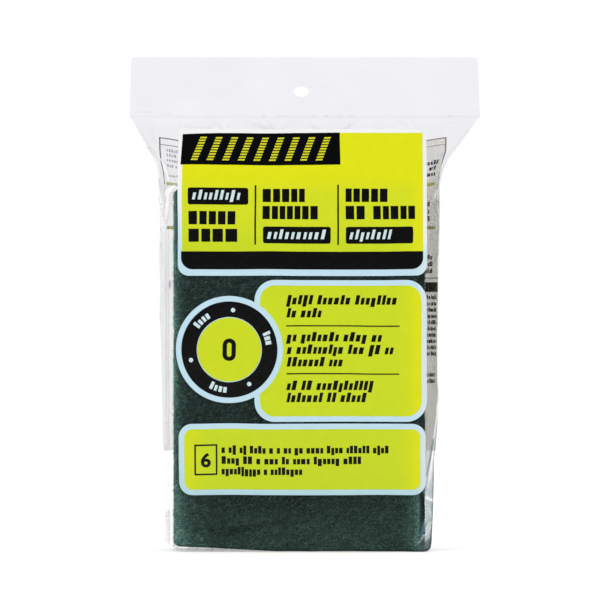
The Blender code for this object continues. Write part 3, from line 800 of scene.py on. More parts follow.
def pad_surface(number, face):
    """Grid of points of one face of a pad, -1 for its front and 1 for its back."""
    low, high = box_mm(f"pad_{number}")
    width, height, thickness = high.x - low.x, high.z - low.z, high.y - low.y
    across, up = np.meshgrid(pad_lines(width) - width / 2, pad_lines(height) - height / 2)
    inside, drawn_x, drawn_z = rim_distance(across, up, width, height)
    edge = np.clip(inside / RIM, 0.0, 1.0)
    roll = RIM * (1 - np.sqrt(1 - (1 - edge) ** 2))
    lumps = 0.12 * value_noise(across / 9 + 40, up / 9 + 40, 101 + 5 * number + face)
    y = (low.y + high.y) / 2 + face * (thickness / 2 + PAD_SWELL - roll + 0.8 * lumps * edge)
    ragged = RIM_SET_BACK * value_noise(up / 3.1 + 60, 0 * up + number, 131) * np.sign(across)
    near_side = 1 - smoothstep(0.0, 6.0, width / 2 - np.abs(across))
    x = (low.x + high.x) / 2 + drawn_x - (RIM_SET_BACK * np.sign(across) + ragged) * near_side
    ragged_end = 0.2 * value_noise(across / 4.3 + 60, 0 * up + number + 20, 133)
    near_end = (1 - smoothstep(0.0, 6.0, height / 2 - np.abs(up))) * np.where(up > 0, 1.0, 0.4)
    z = (low.z + high.z) / 2 + drawn_z - np.sign(up) * (0.2 + ragged_end) * near_end
    z = z + foot_lift(x, z - low.z) - PAD_SAG * (1 - smoothstep(0.0, 12.0, z - low.z))
    if number == 1 and face < 0:
        y = y + 0.45 * streak_amount(x, z)
    return x, y, z


def pad_tones(number, face, x, z):
    """Darker in the middle, lighter low on the right and toward the foot, and painted lighter at the left
    rim: painted light where the light falls from the left.
    """
    tone = np.array(PAD_TONE) * (1 + 0.18 * value_noise(x / 17 + 60, z / 21 + 60, 151 + number))[..., None]
    # Painted light along the left rim, which the light falls on from the left.
    reach = mix(3.4, 1.3, smoothstep(12.0, 45.0, z))
    left = np.exp(-(np.maximum(x - PAD_LOW.x - 0.5, 0.0) / reach))
    left = left * (0.8 + 0.3 * value_noise(x / 2 + 30, z / 4 + 30, 161))
    low_right = smoothstep(38.0, 45.0, x) * (1 - smoothstep(14.0, 40.0, z)) * 0.24
    foot = (1 - smoothstep(3.0, 24.0, z)) * 0.12
    pale_line = 0.5 * np.exp(-((x - PALE_LINE_X) / 0.7) ** 2) * (1 - smoothstep(22.0, 27.0, z))
    beyond = smoothstep(PALE_LINE_X + 0.5, PALE_LINE_X + 1.5, x) * (1 - smoothstep(22.0, 30.0, z))
    pale_spots = sum(np.exp(-(segment_distance(x, z, pixel_point(*start, 1), pixel_point(*end, 1))[0] / width) ** 2)
               * strength for start, end, width, strength in PALE_SPOTS)
    light = np.clip(0.9 * left + low_right * (1 - beyond) + foot + pale_line + pale_spots, 0.0, 1.0)
    tone = blend(tone, PAD_EDGE_TONE, light)
    # Painted shade in the pressed streak.
    if number == 1 and face < 0:
        tone = tone * (1 - 0.62 * streak_amount(x, z))[..., None]
    return tone


def make_pad(number, material):
    """A soft slab: its two faces are grids, joined round the rim."""
    faces_apart = [pad_surface(number, face) for face in (-1, 1)]
    rows, columns = faces_apart[0][0].shape
    points = np.concatenate([np.stack(surface, axis=-1) for surface in faces_apart])
    tones = np.concatenate([pad_tones(number, face, surface[0], surface[2])
                            for face, surface in zip((-1, 1), faces_apart)])
    total = rows * columns
    faces = grid_faces(rows, columns, False)
    faces += [[index + total for index in reversed(face)] for face in faces]
    loop = list(range(columns)) + [row * columns + columns - 1 for row in range(1, rows)]
    loop += [total - columns + column for column in range(columns - 2, -1, -1)]
    loop += [row * columns for row in range(rows - 2, 0, -1)]
    for here, there in zip(loop, loop[1:] + loop[:1]):
        faces.append([there, here, here + total, there + total])
    pad = mesh_object(f"fibre_pad_{number}", points, faces, material, tones)
    settle(pad, "fibre", f"pad_{number}")


# Loose fibres that lie on the pads and stand out of their edges.

RIBBON_STEPS = np.linspace(0.0, 1.0, 4)
LOWEST_FIBRE = 0.2
FACE_FIBRE_TONE = (0.021, 0.045, 0.038)
# Fibres at the edges are painted much lighter than those on the faces: painted light on the fuzz that catches
# the light at the pads' edges.
EDGE_FIBRE_TONE = (0.13, 0.27, 0.23)

# Fibres on the outer faces: name, pad, face, count and seed. At the edges: name, side, count, seed and reach.
FACE_FIBRES = (("fibres_front", 1, -1, 26000, 301), ("fibres_back", PAD_COUNT, 1, 14000, 303))
EDGE_FIBRES = (("fibres_left", -1, 3600, 305, 0.9), ("fibres_right", 1, 3000, 307, 0.7))


def make_ribbons(name, roots, headings, normals, lengths, widths, bends, lifts, tones, material):
    """Flat fibres: each has a root, a heading, a length, a sideways bend and a lift off its surface."""
    count = len(roots)
    sideways = np.cross(normals, headings)
    points = np.zeros((count, 2 * len(RIBBON_STEPS), 3))
    for step, share in enumerate(RIBBON_STEPS):
        middle = roots + headings * (lengths * share)[:, None]
        middle = middle + sideways * (bends * share ** 2)[:, None]
        middle = middle + normals * (lifts * share * (2 - share))[:, None]
        half = sideways * (widths / 2 * (1.0 if share < 1 else 0.3))[:, None]
        points[:, 2 * step] = middle - half
        points[:, 2 * step + 1] = middle + half
    points[..., 2] = np.maximum(points[..., 2], LOWEST_FIBRE)
    per = 2 * len(RIBBON_STEPS)
    faces = []
    for step in range(len(RIBBON_STEPS) - 1):
        base = np.arange(count) * per + 2 * step
        faces += np.stack([base, base + 1, base + 3, base + 2], axis=1).tolist()
    return settle(mesh_object(name, points, faces, material, np.repeat(tones, per, axis=0)), "fibre")


def strand_tones(draws, count, base, spread):
    """Most fibres are near the base colour, and a few are much lighter."""
    light = np.exp(draws.normal(0.0, spread, count))
    teal = draws.uniform(0.9, 1.15, (count, 3)) * np.array(base)
    return np.clip(teal * light[:, None], 0.004, 0.6)


def make_face_fibres(name, number, face, count, seed, material):
    """Fibres that lie on the face of a pad, more of them rising to the right."""
    draws = np.random.default_rng(seed)
    x_grid, y_grid, z_grid = pad_surface(number, face)
    x = draws.uniform(x_grid.min() + 0.8, x_grid.max() - 0.8, count)
    z = draws.uniform(z_grid.min() + 0.8, z_grid.max() - 0.8, count)
    column = np.clip(np.searchsorted(x_grid[len(x_grid) // 2], x), 1, x_grid.shape[1] - 1)
    row = np.clip(np.searchsorted(z_grid[:, z_grid.shape[1] // 2], z), 1, z_grid.shape[0] - 1)
    y = y_grid[row, column]
    rising = draws.uniform(0, 1, count) < 0.6
    lean = np.radians(np.where(rising, draws.normal(38, 16, count), draws.uniform(0, 180, count)))
    headings = np.stack([np.cos(lean), 0 * lean, np.sin(lean)], axis=1)
    normals = np.tile([0.0, float(face), 0.0], (count, 1))
    lengths = draws.uniform(0.6, 2.8, count)
    tone = strand_tones(draws, count, FACE_FIBRE_TONE, 0.6)
    # Painted light: fibres near the left rim are lighter, where the light falls from the left.
    left = np.exp(-np.maximum(x - PAD_LOW.x, 0.0) / mix(3.0, 1.6, smoothstep(12.0, 45.0, z)))
    tone = tone * (1 + 4.0 * left)[:, None]
    roots = np.stack([x, y + face * draws.uniform(0.0, 0.06, count), z], axis=1)
    roots = roots - headings * (lengths / 2)[:, None]
    return make_ribbons(name, roots, headings, normals, lengths, draws.uniform(0.05, 0.12, count),
                        draws.normal(0, 0.16, count), draws.uniform(0.0, 0.07, count), tone, material)


def make_edge_fibres(name, side, count, seed, reach, material):
    """Short fibres that stand out of the left or right edges of all the pads."""
    draws = np.random.default_rng(seed)
    number = draws.integers(1, PAD_COUNT + 1, count)
    depths = [[corner.y for corner in box_mm(f"pad_{pad}")] for pad in range(1, PAD_COUNT + 1)]
    low, high = np.array(depths).T
    y = mix(low[number - 1] + 0.5, high[number - 1] - 0.5, draws.uniform(0, 1, count))
    z = draws.uniform(PAD_LOW.z + 1.5, PAD_HIGH.z - 1.5, count)
    edge = PAD_HIGH.x if side > 0 else PAD_LOW.x
    roots = np.stack([edge + 0 * y - side * 0.6, y, z], axis=1)
    turn = np.radians(draws.normal(0, 35, count))
    out, up = side * np.cos(turn), np.sin(turn)
    headings = np.stack([out, up * draws.uniform(-0.5, 0.5, count), up], axis=1)
    headings /= np.linalg.norm(headings, axis=1)[:, None]
    normals = np.tile([0.0, -1.0, 0.0], (count, 1))
    lengths = draws.uniform(0.5, reach, count) + 0.4
    tone = strand_tones(draws, count, EDGE_FIBRE_TONE, 0.35)
    return make_ribbons(name, roots, headings, normals, lengths, draws.uniform(0.06, 0.12, count),
                        draws.normal(0, 0.35, count), 0 * y, tone, material)


# Print. Every sheet of ink lies along the film, a little in front of the one below it.

INK_THICKNESS = 0.03
FIRST_LAYER = 0.10
LAYER = 0.05
CORNER_STEPS = 10
WORD_GAP = 0.65
SLANT = 0.2
NOTES_START = 12.4
BLACK = (0.0022, 0.0024, 0.0028)

# Corner radii of the fields of the label.
TITLE_RADII = (4.4, 4.4, 0, 0)
BAND_RADII = (4.6, 4.6, 0, 0)
BAR_RADII = (0.9,) * 4
NOTES_RADII = (8.2,) * 4
NOTES_FIELD_RADII = (6.0,) * 4
COUNT_RADII = (5.4,) * 4
COUNT_FIELD_RADII = (3.2,) * 4

# The top of the title droops over its left end: how far in it starts, and its drop there and at the end.
DROOP_LENGTH = 15.0
DROOP_START = 0.15
DROOP_END = 0.75

# Words and dots round the grade ring: middle of each word in degrees, letters, and side they face.
RING_WORDS = ((133.0, 4, 1), (17.0, 3, 1), (254.0, 4, -1))
RING_LETTER_TURN = 6.6
RING_DOTS = (84.6, 195.0, 300.3)
RING_DOT_RADIUS = 0.9

# Rows of words: left, right and foot in pixels, height in pixels, letters of each word, and share inked.
TITLE_LINES = (
    (188.5, 235.5, 224.6, 13.3, (5,), 0.78),
    (188.5, 237.5, 242.0, 13.0, (4,), 0.80),
    (262.5, 304.5, 202.0, 13.3, (5,), 0.78),
    (262.5, 317.5, 219.3, 13.3, (7,), 0.78),
    (345.5, 387.5, 202.0, 13.3, (5,), 0.78),
    (345.5, 415.0, 219.3, 13.3, (2, 5), 0.78),
)
BAR_LINES = (
    (192.0, 240.5, 199.8, 9.6, (9,), 0.52),
    (267.0, 326.0, 239.2, 9.6, (10,), 0.52),
    (349.0, 392.0, 239.2, 9.6, (8,), 0.52),
)
NOTES_LINES = (
    (286.5, 397.0, 304.5, 9.4, (5, 6, 8), 0.68),
    (286.5, 322.0, 317.5, 9.4, (2, 4), 0.68),
    (286.5, 382.0, 341.5, 9.4, (2, 7, 4, 2), 0.68),
    (286.5, 394.0, 354.0, 9.4, (1, 9, 3, 2, 2), 0.68),
    (286.5, 343.0, 366.5, 9.4, (7, 3), 0.68),
    (286.5, 374.0, 390.0, 9.4, (2, 2, 11), 0.68),
    (286.5, 367.0, 402.0, 9.4, (7, 2, 5), 0.68),
)
COUNT_LINES = (
    (221.7, 388.5, 453.2, 7.6, (1, 2, 2, 4, 1, 1, 2, 2, 4, 4, 6, 4), 0.76),
    (221.7, 361.0, 464.0, 7.6, (4, 2, 1, 3, 2, 4, 6, 4), 0.76),
    (221.7, 302.0, 474.6, 7.6, (10, 1, 8), 0.76),
)


def pale_tone(x, z):
    """White ink over the empty film, cooler over the dark pads."""
    low = blend(linear(234, 240, 243), linear(193, 223, 237), smoothstep(147.0, 118.0, z))
    low = blend(low, linear(184, 218, 227), smoothstep(40.0, 24.0, z))
    tone = blend(linear(239, 240, 240), low, smoothstep(150.0, 145.5, z))
    right = smoothstep(44.5, 48.0, x)
    tone = blend(tone, linear(234, 237, 234), right * smoothstep(118.0, 126.0, z))
    return blend(tone, linear(214, 229, 232), right * smoothstep(122.0, 114.0, z))


def yellow_tone(x, z):
    """Brighter over the empty film and toward the right edge, greener over the dark pads."""
    tone = linear(222, 224, 17)
    for level, colour in ((147.0, (208, 219, 33)), (129.0, (199, 215, 34)), (104.0, (201, 218, 35)),
                          (53.0, (198, 217, 36))):
        tone = blend(tone, linear(*colour), smoothstep(level + 7.0, level - 6.0, z))
    tone = blend(tone, linear(211, 221, 27), smoothstep(-38.0, -47.0, x) * smoothstep(60.0, 52.0, z))
    tone = blend(tone, linear(208, 220, 31), smoothstep(36.0, 42.0, x) * smoothstep(150.0, 140.0, z))
    return blend(tone, linear(223, 224, 18), smoothstep(42.0, 46.0, x))


def on_front(x, z, stand):
    """Points on the front film, standing off it. The print is shifted a little where the film isn't flat."""
    x, z = (x + 0.16 * value_noise(x / 30 + 20, z / 13 + 12, 401),
            z + 0.24 * value_noise(x / 15 + 40, z / 40 + 12, 403))
    return np.stack([x, front_y(x, z) - stand, z], axis=-1)


def lay_points(x, z, layer, proud, lay):
    """Points of a layer of ink on the front film, or on the film that lay follows."""
    stand = FIRST_LAYER + layer * LAYER + proud
    return np.array([lay(*point) for point in zip(x, z, stand)]) if lay else on_front(x, z, stand)


def arc_corners(left, right, bottom, top, radii=(0, 0, 0, 0)):
    """Rounded rectangle, with radii from lower left round to lower right, upper right, upper left."""
    corners = ((left, bottom, 1, 1, 180), (right, bottom, -1, 1, 270),
               (right, top, -1, -1, 0), (left, top, 1, -1, 90))
    points = []
    for (x, z, inward_x, inward_z, start), radius in zip(corners, radii):
        steps = CORNER_STEPS if radius > 0 else 0
        for step in range(steps + 1):
            angle = math.radians(start + 90 * step / max(steps, 1))
            points.append((x + inward_x * radius + radius * math.cos(angle),
                           z + inward_z * radius + radius * math.sin(angle)))
    return points


def ring_points(centre, radius, steps=120):
    angles = [math.tau * step / steps for step in range(steps)]
    return [(centre[0] + radius * math.cos(angle), centre[1] + radius * math.sin(angle)) for angle in angles]


def box_corners(left, right, bottom, top):
    return [(left, bottom), (right, bottom), (right, top), (left, top)]


def box_of_pixels(left, right, top, bottom):
    low = pixel_point(left, bottom, 0)
    high = pixel_point(right, top, 0)
    return low[0], high[0], low[1], high[1]


def shrunk(box, across, up):
    return box[0] + across, box[1] - across, box[2] + up, box[3] - up


def node_edges(node):
    low, high = box_mm(node)
    return low.x, high.x, low.z, high.z


def ink_object(name, shape, ink, tones, nodes=()):
    material, slot, _ = ink
    sheet = shape_object(name, shape)
    sheet.data.materials.append(material)
    paint(sheet.data, tones)
    return settle(sheet, slot, *nodes)


def ink_sheet(name, outlines, layer, ink, tone, nodes=(), cell=3.0):
    """A thin closed sheet with the given outlines, cut into cells and laid on the film."""
    curve = bpy.data.curves.new(name, "CURVE")
    curve.dimensions = "2D"
    curve.fill_mode = "BOTH"
    curve.extrude = INK_THICKNESS / 2
    for outline in outlines:
        spline = curve.splines.new("POLY")
        spline.points.add(len(outline) - 1)
        for point, (x, z) in zip(spline.points, outline):
            point.co = (x, z, 0.0, 1.0)
        spline.use_cyclic_u = True
    shape = curve_shape(curve, 0.001)
    bmesh.ops.recalc_face_normals(shape, faces=shape.faces)
    slice_shape(shape, cell)
    x, z, proud = np.array([vertex.co for vertex in shape.verts]).T
    for vertex, place in zip(shape.verts, lay_points(x, z, layer, proud, ink[2])):
        vertex.co = Vector(place) * MM
    return ink_object(name, shape, ink, tone(x, z) if callable(tone) else tone, nodes)


def slice_shape(shape, cell):
    """Cut a flat sheet into cells of one lattice, so that it can follow the film."""
    for axis, normal in enumerate((Vector((1.0, 0.0, 0.0)), Vector((0.0, 1.0, 0.0)))):
        values = [vertex.co[axis] for vertex in shape.verts]
        steps = range(math.ceil(min(values) / cell), math.floor(max(values) / cell) + 1)
        for cut in [step * cell for step in steps] + [SHOULDER] * axis:
            parts = list(shape.verts) + list(shape.edges) + list(shape.faces)
            bmesh.ops.bisect_plane(shape, geom=parts, dist=0.0005, plane_co=normal * cut, plane_no=normal)


def print_node(node, layer, ink, tone, radii=(0, 0, 0, 0), outline=None):
    """Sheet of ink that stands for a node of the label, in its box unless an outline is given."""
    stem, _, number = node.rpartition("_")
    name = f"{stem}_print_{number}" if number.isdigit() else f"{node}_print"
    return ink_sheet(name, [outline or arc_corners(*node_edges(node), radii)], layer, ink, tone, [node])


def block_group(name, blocks, layer, ink, tone):
    """Many small flat blocks of ink in one mesh. Each is a list of its corners."""
    material, slot, lay = ink
    places, faces = [], []
    for corners in blocks:
        faces += prism_faces(len(places), len(corners))
        places += [(x, z, proud) for proud in (INK_THICKNESS / 2, -INK_THICKNESS / 2) for x, z in corners]
    x, z, proud = np.array(places).T
    group = mesh_object(name, lay_points(x, z, layer, proud, lay), faces, material, tone, smooth=False)
    return settle(group, slot)


def word_line(draws, left, right, foot, height, letters, fill, capital=False, slant=0.0):
    """Letter-sized blocks in words of the given counts, which fill the way between two pixels."""
    start, foot = pixel_point(left, foot, 0)
    end, _ = pixel_point(right, foot, 0)
    height = height * PIXEL_SIZE
    pitch = (end - start) / (sum(letters) + WORD_GAP * (len(letters) - 1))
    blocks, x = [], start
    for count in letters:
        for _ in range(count):
            width = pitch * draws.uniform(0.8, 1.15)
            tall = height if capital else height * (1.0 if draws.uniform() < 0.3 else 0.72)
            drop = 0.0 if capital or draws.uniform() < 0.88 else 0.24 * height
            end_x = x + width * fill
            low, high = -slant * drop, slant * tall
            blocks.append([(x + low, foot - drop), (end_x + low, foot - drop),
                           (end_x + high, foot + tall), (x + high, foot + tall)])
            x += width
        x += pitch * WORD_GAP
    reach = max(corner[0] for block in blocks for corner in block)
    squeeze = (end - start) / (reach - start)
    return [[(start + (x - start) * squeeze, z) for x, z in block] for block in blocks]


def print_words(name, lines, draws, layer, ink, tone, **style):
    """Rows of words in one mesh."""
    blocks = [block for line in lines for block in word_line(draws, *line, **style)]
    return block_group(name, blocks, layer, ink, tone)


def make_title(inks):
    pale, yellow, black = inks
    print_node("title_border", 0, pale, pale_tone, TITLE_RADII)
    field_left, field_right, _, field_top = node_edges("title_field")
    band_left, band_right, band_bottom, band_top = node_edges("title_band")
    left, right, bottom, top = node_edges("title_strip")
    field = [(field_left, band_top - 0.3), (field_right, band_top - 0.3), (field_right, field_top),
             (left + DROOP_LENGTH, field_top - DROOP_START), (field_left + 0.2, field_top - DROOP_END)]
    print_node("title_field", 1, yellow, yellow_tone, outline=field)
    band = arc_corners(band_left - 0.25, band_right, band_bottom, band_top, BAND_RADII)
    print_node("title_band", 2, black, BLACK, outline=band)
    strip = [(left - 0.5, bottom), (right, bottom), (right, top), (left + DROOP_LENGTH, top - DROOP_START),
             (left + 0.1, top - DROOP_END)]
    print_node("title_strip", 2, black, BLACK, outline=strip)
    make_strip_bars(left, right, bottom, top, yellow)
    for number in (1, 2, 3):
        print_node(f"title_bar_{number}", 2, black, BLACK, BAR_RADII)
    for number in (1, 2):
        print_node(f"title_divider_{number}", 2, black, BLACK)
    draws = np.random.default_rng(201)
    print_words("title_words", TITLE_LINES, draws, 2, black, BLACK, capital=True)
    print_words("title_bar_words", BAR_LINES, draws, 3, pale, linear(206, 226, 226), slant=SLANT)


def make_strip_bars(left, right, bottom, top, ink):
    """Slanted bars along the strip, each made of fine level stripes."""
    margin, slant, bars, share, stripes = 1.6, 4.0, 9, 0.42, 9
    pitch = (right - left - 2 * margin - slant) / bars
    low, high = bottom + margin, top - margin
    blocks = []
    for bar in range(bars):
        start = left + margin + (bar + (1 - share) / 2) * pitch
        end = start + share * pitch
        for stripe in range(stripes):
            foot, head = (stripe + 0.18) / stripes, (stripe + 0.78) / stripes
            blocks.append([(x + slant * up, mix(low, high, up))
                           for x, up in ((start, foot), (end, foot), (end, head), (start, head))])
    block_group("title_strip_bars", blocks, 3, ink, linear(214, 214, 40))


def numeral(name, text, box, layer, ink):
    """A plain number that fills the box."""
    curve = bpy.data.curves.new(name, "FONT")
    curve.body = text
    curve.resolution_u = 6
    curve.offset = 0.03
    shape = curve_shape(curve, 1e-5)
    points = np.array([vertex.co for vertex in shape.verts])
    low, high = points.min(axis=0), points.max(axis=0)
    left, right, bottom, top = box
    x = left + (points[:, 0] - low[0]) / (high[0] - low[0]) * (right - left)
    z = bottom + (points[:, 1] - low[1]) / (high[1] - low[1]) * (top - bottom)
    for vertex, place in zip(shape.verts, on_front(x, z, FIRST_LAYER + layer * LAYER)):
        vertex.co = Vector(place) * MM
    grown = bmesh.ops.extrude_face_region(shape, geom=list(shape.faces), use_keep_orig=True)
    for part in grown["geom"]:
        if isinstance(part, bmesh.types.BMVert):
            part.co.y -= INK_THICKNESS * MM
    bmesh.ops.recalc_face_normals(shape, faces=shape.faces)
    return ink_object(name, shape, ink, BLACK)


def make_grade(inks):
    pale, yellow, black = inks
    edges = node_edges("grade_border")
    centre = ((edges[0] + edges[1]) / 2, (edges[2] + edges[3]) / 2)
    radii = []
    for part, layer, ink, tone in (("border", 2, pale, pale_tone), ("ring", 3, black, BLACK),
                                   ("disc", 4, yellow, linear(203, 218, 33))):
        left, right, _, _ = node_edges("grade_" + part)
        radii.append((right - left) / 2)
        print_node("grade_" + part, layer, ink, tone, outline=ring_points(centre, radii[-1]))
    nought = box_of_pixels(222.7, 236.0, 338.5, 360.8)
    outlines = [arc_corners(*nought, (2.6,) * 4), arc_corners(*shrunk(nought, 1.75, 1.65), (0.9,) * 4)]
    ink_sheet("grade_number", outlines, 5, black, BLACK)
    _, ring_radius, disc_radius = radii
    line = [ring_points(centre, disc_radius + 0.25), ring_points(centre, disc_radius - 0.1)]
    ink_sheet("grade_disc_line", line, 4, pale, linear(196, 224, 226))
    make_ring_marks(centre, (disc_radius + ring_radius) / 2, pale)


def make_ring_marks(centre, radius, ink):
    """Three short words and three dots round the ring."""
    draws = np.random.default_rng(211)
    words = []
    for middle, letters, side in RING_WORDS:
        for letter in range(letters):
            turn = middle - side * (letter - (letters - 1) / 2) * RING_LETTER_TURN
            half_height = 1.55 if letter == 0 else 1.15
            words.append(ring_block(centre, radius, turn, draws.uniform(0.55, 0.75), half_height, side))
    dots = []
    for turn in RING_DOTS:
        angle = math.radians(turn)
        reach = radius - 0.15
        middle = (centre[0] + reach * math.cos(angle), centre[1] + reach * math.sin(angle))
        dots.append(ring_points(middle, RING_DOT_RADIUS, 20))
    for name, blocks in (("ring_words", words), ("ring_dots", dots)):
        block_group(name, blocks, 4, ink, linear(205, 226, 232))


def ring_block(centre, radius, turn, half_width, half_height, side):
    """A small block that stands on the ring, facing out or in."""
    outward = (math.cos(math.radians(turn)), math.sin(math.radians(turn)))
    across = (-outward[1], outward[0])
    foot = radius - side * 1.3
    corners = []
    for step_across, step_out in ((1, 0), (-1, 0), (-1, 1), (1, 1)):
        reach = foot + side * 2 * half_height * step_out
        corners.append(tuple(centre[axis] + outward[axis] * reach + across[axis] * half_width * step_across
                             for axis in (0, 1)))
    return corners if side > 0 else corners[::-1]


def make_notes(inks):
    """Notes panel, whose left edge is hidden under the grade ring."""
    pale, yellow, black = inks
    _, right, bottom, top = node_edges("notes_border")
    _, field_right, field_bottom, field_top = node_edges("notes_field")
    ring_left, ring_right, _, _ = node_edges("grade_ring")
    start = (ring_left + ring_right) / 2 + NOTES_START
    border = arc_corners(start - (right - field_right), right, bottom, top, NOTES_RADII)
    print_node("notes_border", 0, pale, pale_tone, outline=border)
    field = arc_corners(start, field_right, field_bottom, field_top, NOTES_FIELD_RADII)
    print_node("notes_field", 1, yellow, yellow_tone, outline=field)
    for number in (1, 2):
        print_node(f"notes_rule_{number}", 2, black, BLACK)
    print_words("notes_words", NOTES_LINES, np.random.default_rng(221), 2, black, BLACK, slant=SLANT)


def make_count(inks):
    pale, yellow, black = inks
    print_node("count_border", 0, pale, pale_tone, COUNT_RADII)
    print_node("count_field", 1, yellow, yellow_tone, COUNT_FIELD_RADII)
    outer = box_of_pixels(194.5, 217.5, 444.2, 475.0)
    ink_sheet("count_frame", [box_corners(*outer), box_corners(*shrunk(outer, 0.65, 0.65))], 2, black, BLACK)
    numeral("count_number", "6", box_of_pixels(201.0, 211.0, 452.8, 467.2), 2, black)
    print_words("count_words", COUNT_LINES, np.random.default_rng(231), 2, black, BLACK)


# Print on the back film, whose sides show round the pads.

PANEL_HALF = 58.7
PANEL_WRAP = 8.0
PANEL_TOP = 168.0
PANEL_FOOT = 25.0
PANEL_TONE = linear(212, 209, 198)
# On the sides the panel is painted lighter and warmer: painted light on print that the pads shade.
PANEL_SIDE_TONE = (0.88, 0.80, 0.60)
BACK_GREY = linear(84, 116, 136)
BACK_LINE = linear(78, 108, 130)
BACK_DARK = linear(48, 62, 66)
BACK_NAVY = linear(46, 54, 84)
BACK_YELLOW = linear(238, 232, 20)
INSIDE_FROM = 45.0


def back_lay(along, level, stand):
    """The print sags a little toward the middle where the film leans in above the pads."""
    sag = 1.3 * smoothstep(59.0, 49.0, abs(along)) * smoothstep(138.0, 162.0, level)
    return back_point(along, level - sag, stand)


def panel_tone(along, level):
    """Beige white ink, thinner on the sides and where the empty film shows through it. On the sides it is
    painted lighter and warmer, as painted light.
    """
    side = smoothstep(48.0, 51.5, np.abs(along))
    high = mix(0.14, 0.30, smoothstep(46.0, 52.0, along))
    opacity = mix(mix(0.86, 0.43, side), high, smoothstep(146.0, 155.0, level))
    opacity = mix(opacity, 0.03, smoothstep(-44.0, -50.0, along))
    return np.concatenate([blend(PANEL_TONE, PANEL_SIDE_TONE, side), opacity[..., None]], axis=-1)


def panel_outline(half, foot, top):
    """Upright panel whose lower right corner is drawn in."""
    return [(-half, foot), (half - 10.0, foot), (half - 4.0, foot + 12.0), (half, foot + 26.0),
            (half + PANEL_WRAP, foot + 40.0), (half + PANEL_WRAP, SHOULDER), (half, SHOULDER + 10.0),
            (half, top), (-half, top)]


def pieces(low, high, cell=4.0):
    """Ends of the equal pieces that a rule is cut into, so that it can follow the film."""
    edges = np.linspace(low, high, max(1, int((high - low) / cell)) + 1)
    return zip(edges, edges[1:])


def ruler(low, high, left=-PANEL_HALF, right=PANEL_HALF, cell=4.0):
    return [box_corners(start, end, low, high) for start, end in pieces(left, right, cell)]


def upright(low, high, left, right):
    return [box_corners(left, right, start, end) for start, end in pieces(low, high)]


def make_back_print(inks):
    pale, yellow, dark = inks
    outline = panel_outline(PANEL_HALF, PANEL_FOOT, PANEL_TOP)
    ink_sheet("back_panel_print", [outline], 0, pale, panel_tone, cell=2.5)
    rules = ruler(PANEL_TOP - 0.45, PANEL_TOP) + ruler(165.0, 165.3)
    rules += ruler(110.4, 110.8, -PANEL_HALF + 9.0, PANEL_HALF + PANEL_WRAP)
    rules += upright(157.0, PANEL_TOP, PANEL_HALF - 0.6, PANEL_HALF)
    rules += upright(149.0, PANEL_TOP, -PANEL_HALF, -PANEL_HALF + 0.6)
    block_group("back_rules", rules, 1, dark, (*BACK_LINE, 0.62))
    faint = upright(PANEL_FOOT, 149.0, -PANEL_HALF, -PANEL_HALF + 0.35)
    block_group("back_faint_rule", faint, 1, dark, (*BACK_LINE, 0.16))
    bright = ruler(148.7, 150.0, -PANEL_HALF + 2.0, PANEL_HALF - 2.0)
    bright += ruler(130.6, 131.9, -PANEL_HALF + 1.0, PANEL_HALF)
    block_group("back_yellow_rules", bright, 1, yellow, (*BACK_YELLOW, 0.62))
    make_back_words(dark)
    for name, start, layer, tone in (("back_bar", -PANEL_HALF + 7.0, 1, (*BACK_DARK, 0.9)),
                                     ("back_bar_inside", INSIDE_FROM, -1, (*BACK_NAVY, 0.8))):
        block_group(name, ruler(104.9, 108.9, start, PANEL_HALF + PANEL_WRAP - 1.0, 3.0), layer, dark, tone)


def make_back_words(ink):
    """Lines of text on the back, which show as rows of small blocks beside the pads."""
    draws = np.random.default_rng(241)
    left, right = -PANEL_HALF + 3.0, PANEL_HALF - 5.0
    faint = []
    for level in (162.6, 160.6, 158.6, 156.3, 152.3):
        faint += letter_row(draws, level, 1.25, left, right - 6.0, 1.0)
    block_group("back_small_words", faint, 1, ink, (*BACK_GREY, 0.34))
    rows = [(level, 1.8, right - 5.0, right + 2.4, 1.25) for level in (157.6, 155.3, 152.8)]
    rows += [(level, 5.8, left + 9.0, right - 7.5, 2.4) for level in (134.2, 113.0)]
    rows += [(level, 2.0, right - 5.0, right - 0.6, 1.4) for level in (134.0, 137.0, 140.0)]
    rows += [(level, 2.0, right - 5.0, right + 2.2, 1.4) for level in (112.6, 115.4, 118.2)]
    rows += [(101.9 - 2.56 * number, 1.7, left + 9.0, right + 9.0, 1.1) for number in range(10)]
    rows += [(level, 1.6, left + 9.0, right + 6.0, 1.1) for level in (70.2, 67.6)]
    words = [block for row in rows for block in letter_row(draws, *row)]
    block_group("back_words", words, 1, ink, (*BACK_DARK, 0.88))
    inside = [block for block in words if block[0][0] > INSIDE_FROM]
    block_group("back_words_inside", inside, -1, ink, (*BACK_NAVY, 0.70))


def letter_row(draws, level, height, left, right, pitch):
    """Letter-sized blocks with a space after every few of them."""
    blocks, x = [], left
    while x < right - pitch:
        for _ in range(int(draws.integers(2, 9))):
            if x > right - 0.7 * pitch:
                break
            width = pitch * draws.uniform(0.52, 0.8)
            tall = height * (1.0 if draws.uniform() < 0.4 else 0.74)
            blocks.append(box_corners(x, x + width, level, level + tall))
            x += pitch
        x += 0.6 * pitch
    return blocks


# Stage: floor, world, lamps and camera.

FLOOR_RADIUS = 1.6
FLOOR_DROP = 0.00005
FLOOR_GLOW = 0.45
AMBIENT = 0.62
AIM = (0.0, 0.0, 0.1)

# Lamps: name, place, width and power. They all point at the middle of the pack.
LAMPS = (
    ("key", (-0.9, -1.3, 0.9), 0.8, 9.9),
    ("fill", (1.1, -1.2, 0.5), 0.9, 5.6),
    ("rear", (0.3, 1.5, 0.6), 0.9, 9.0),
)


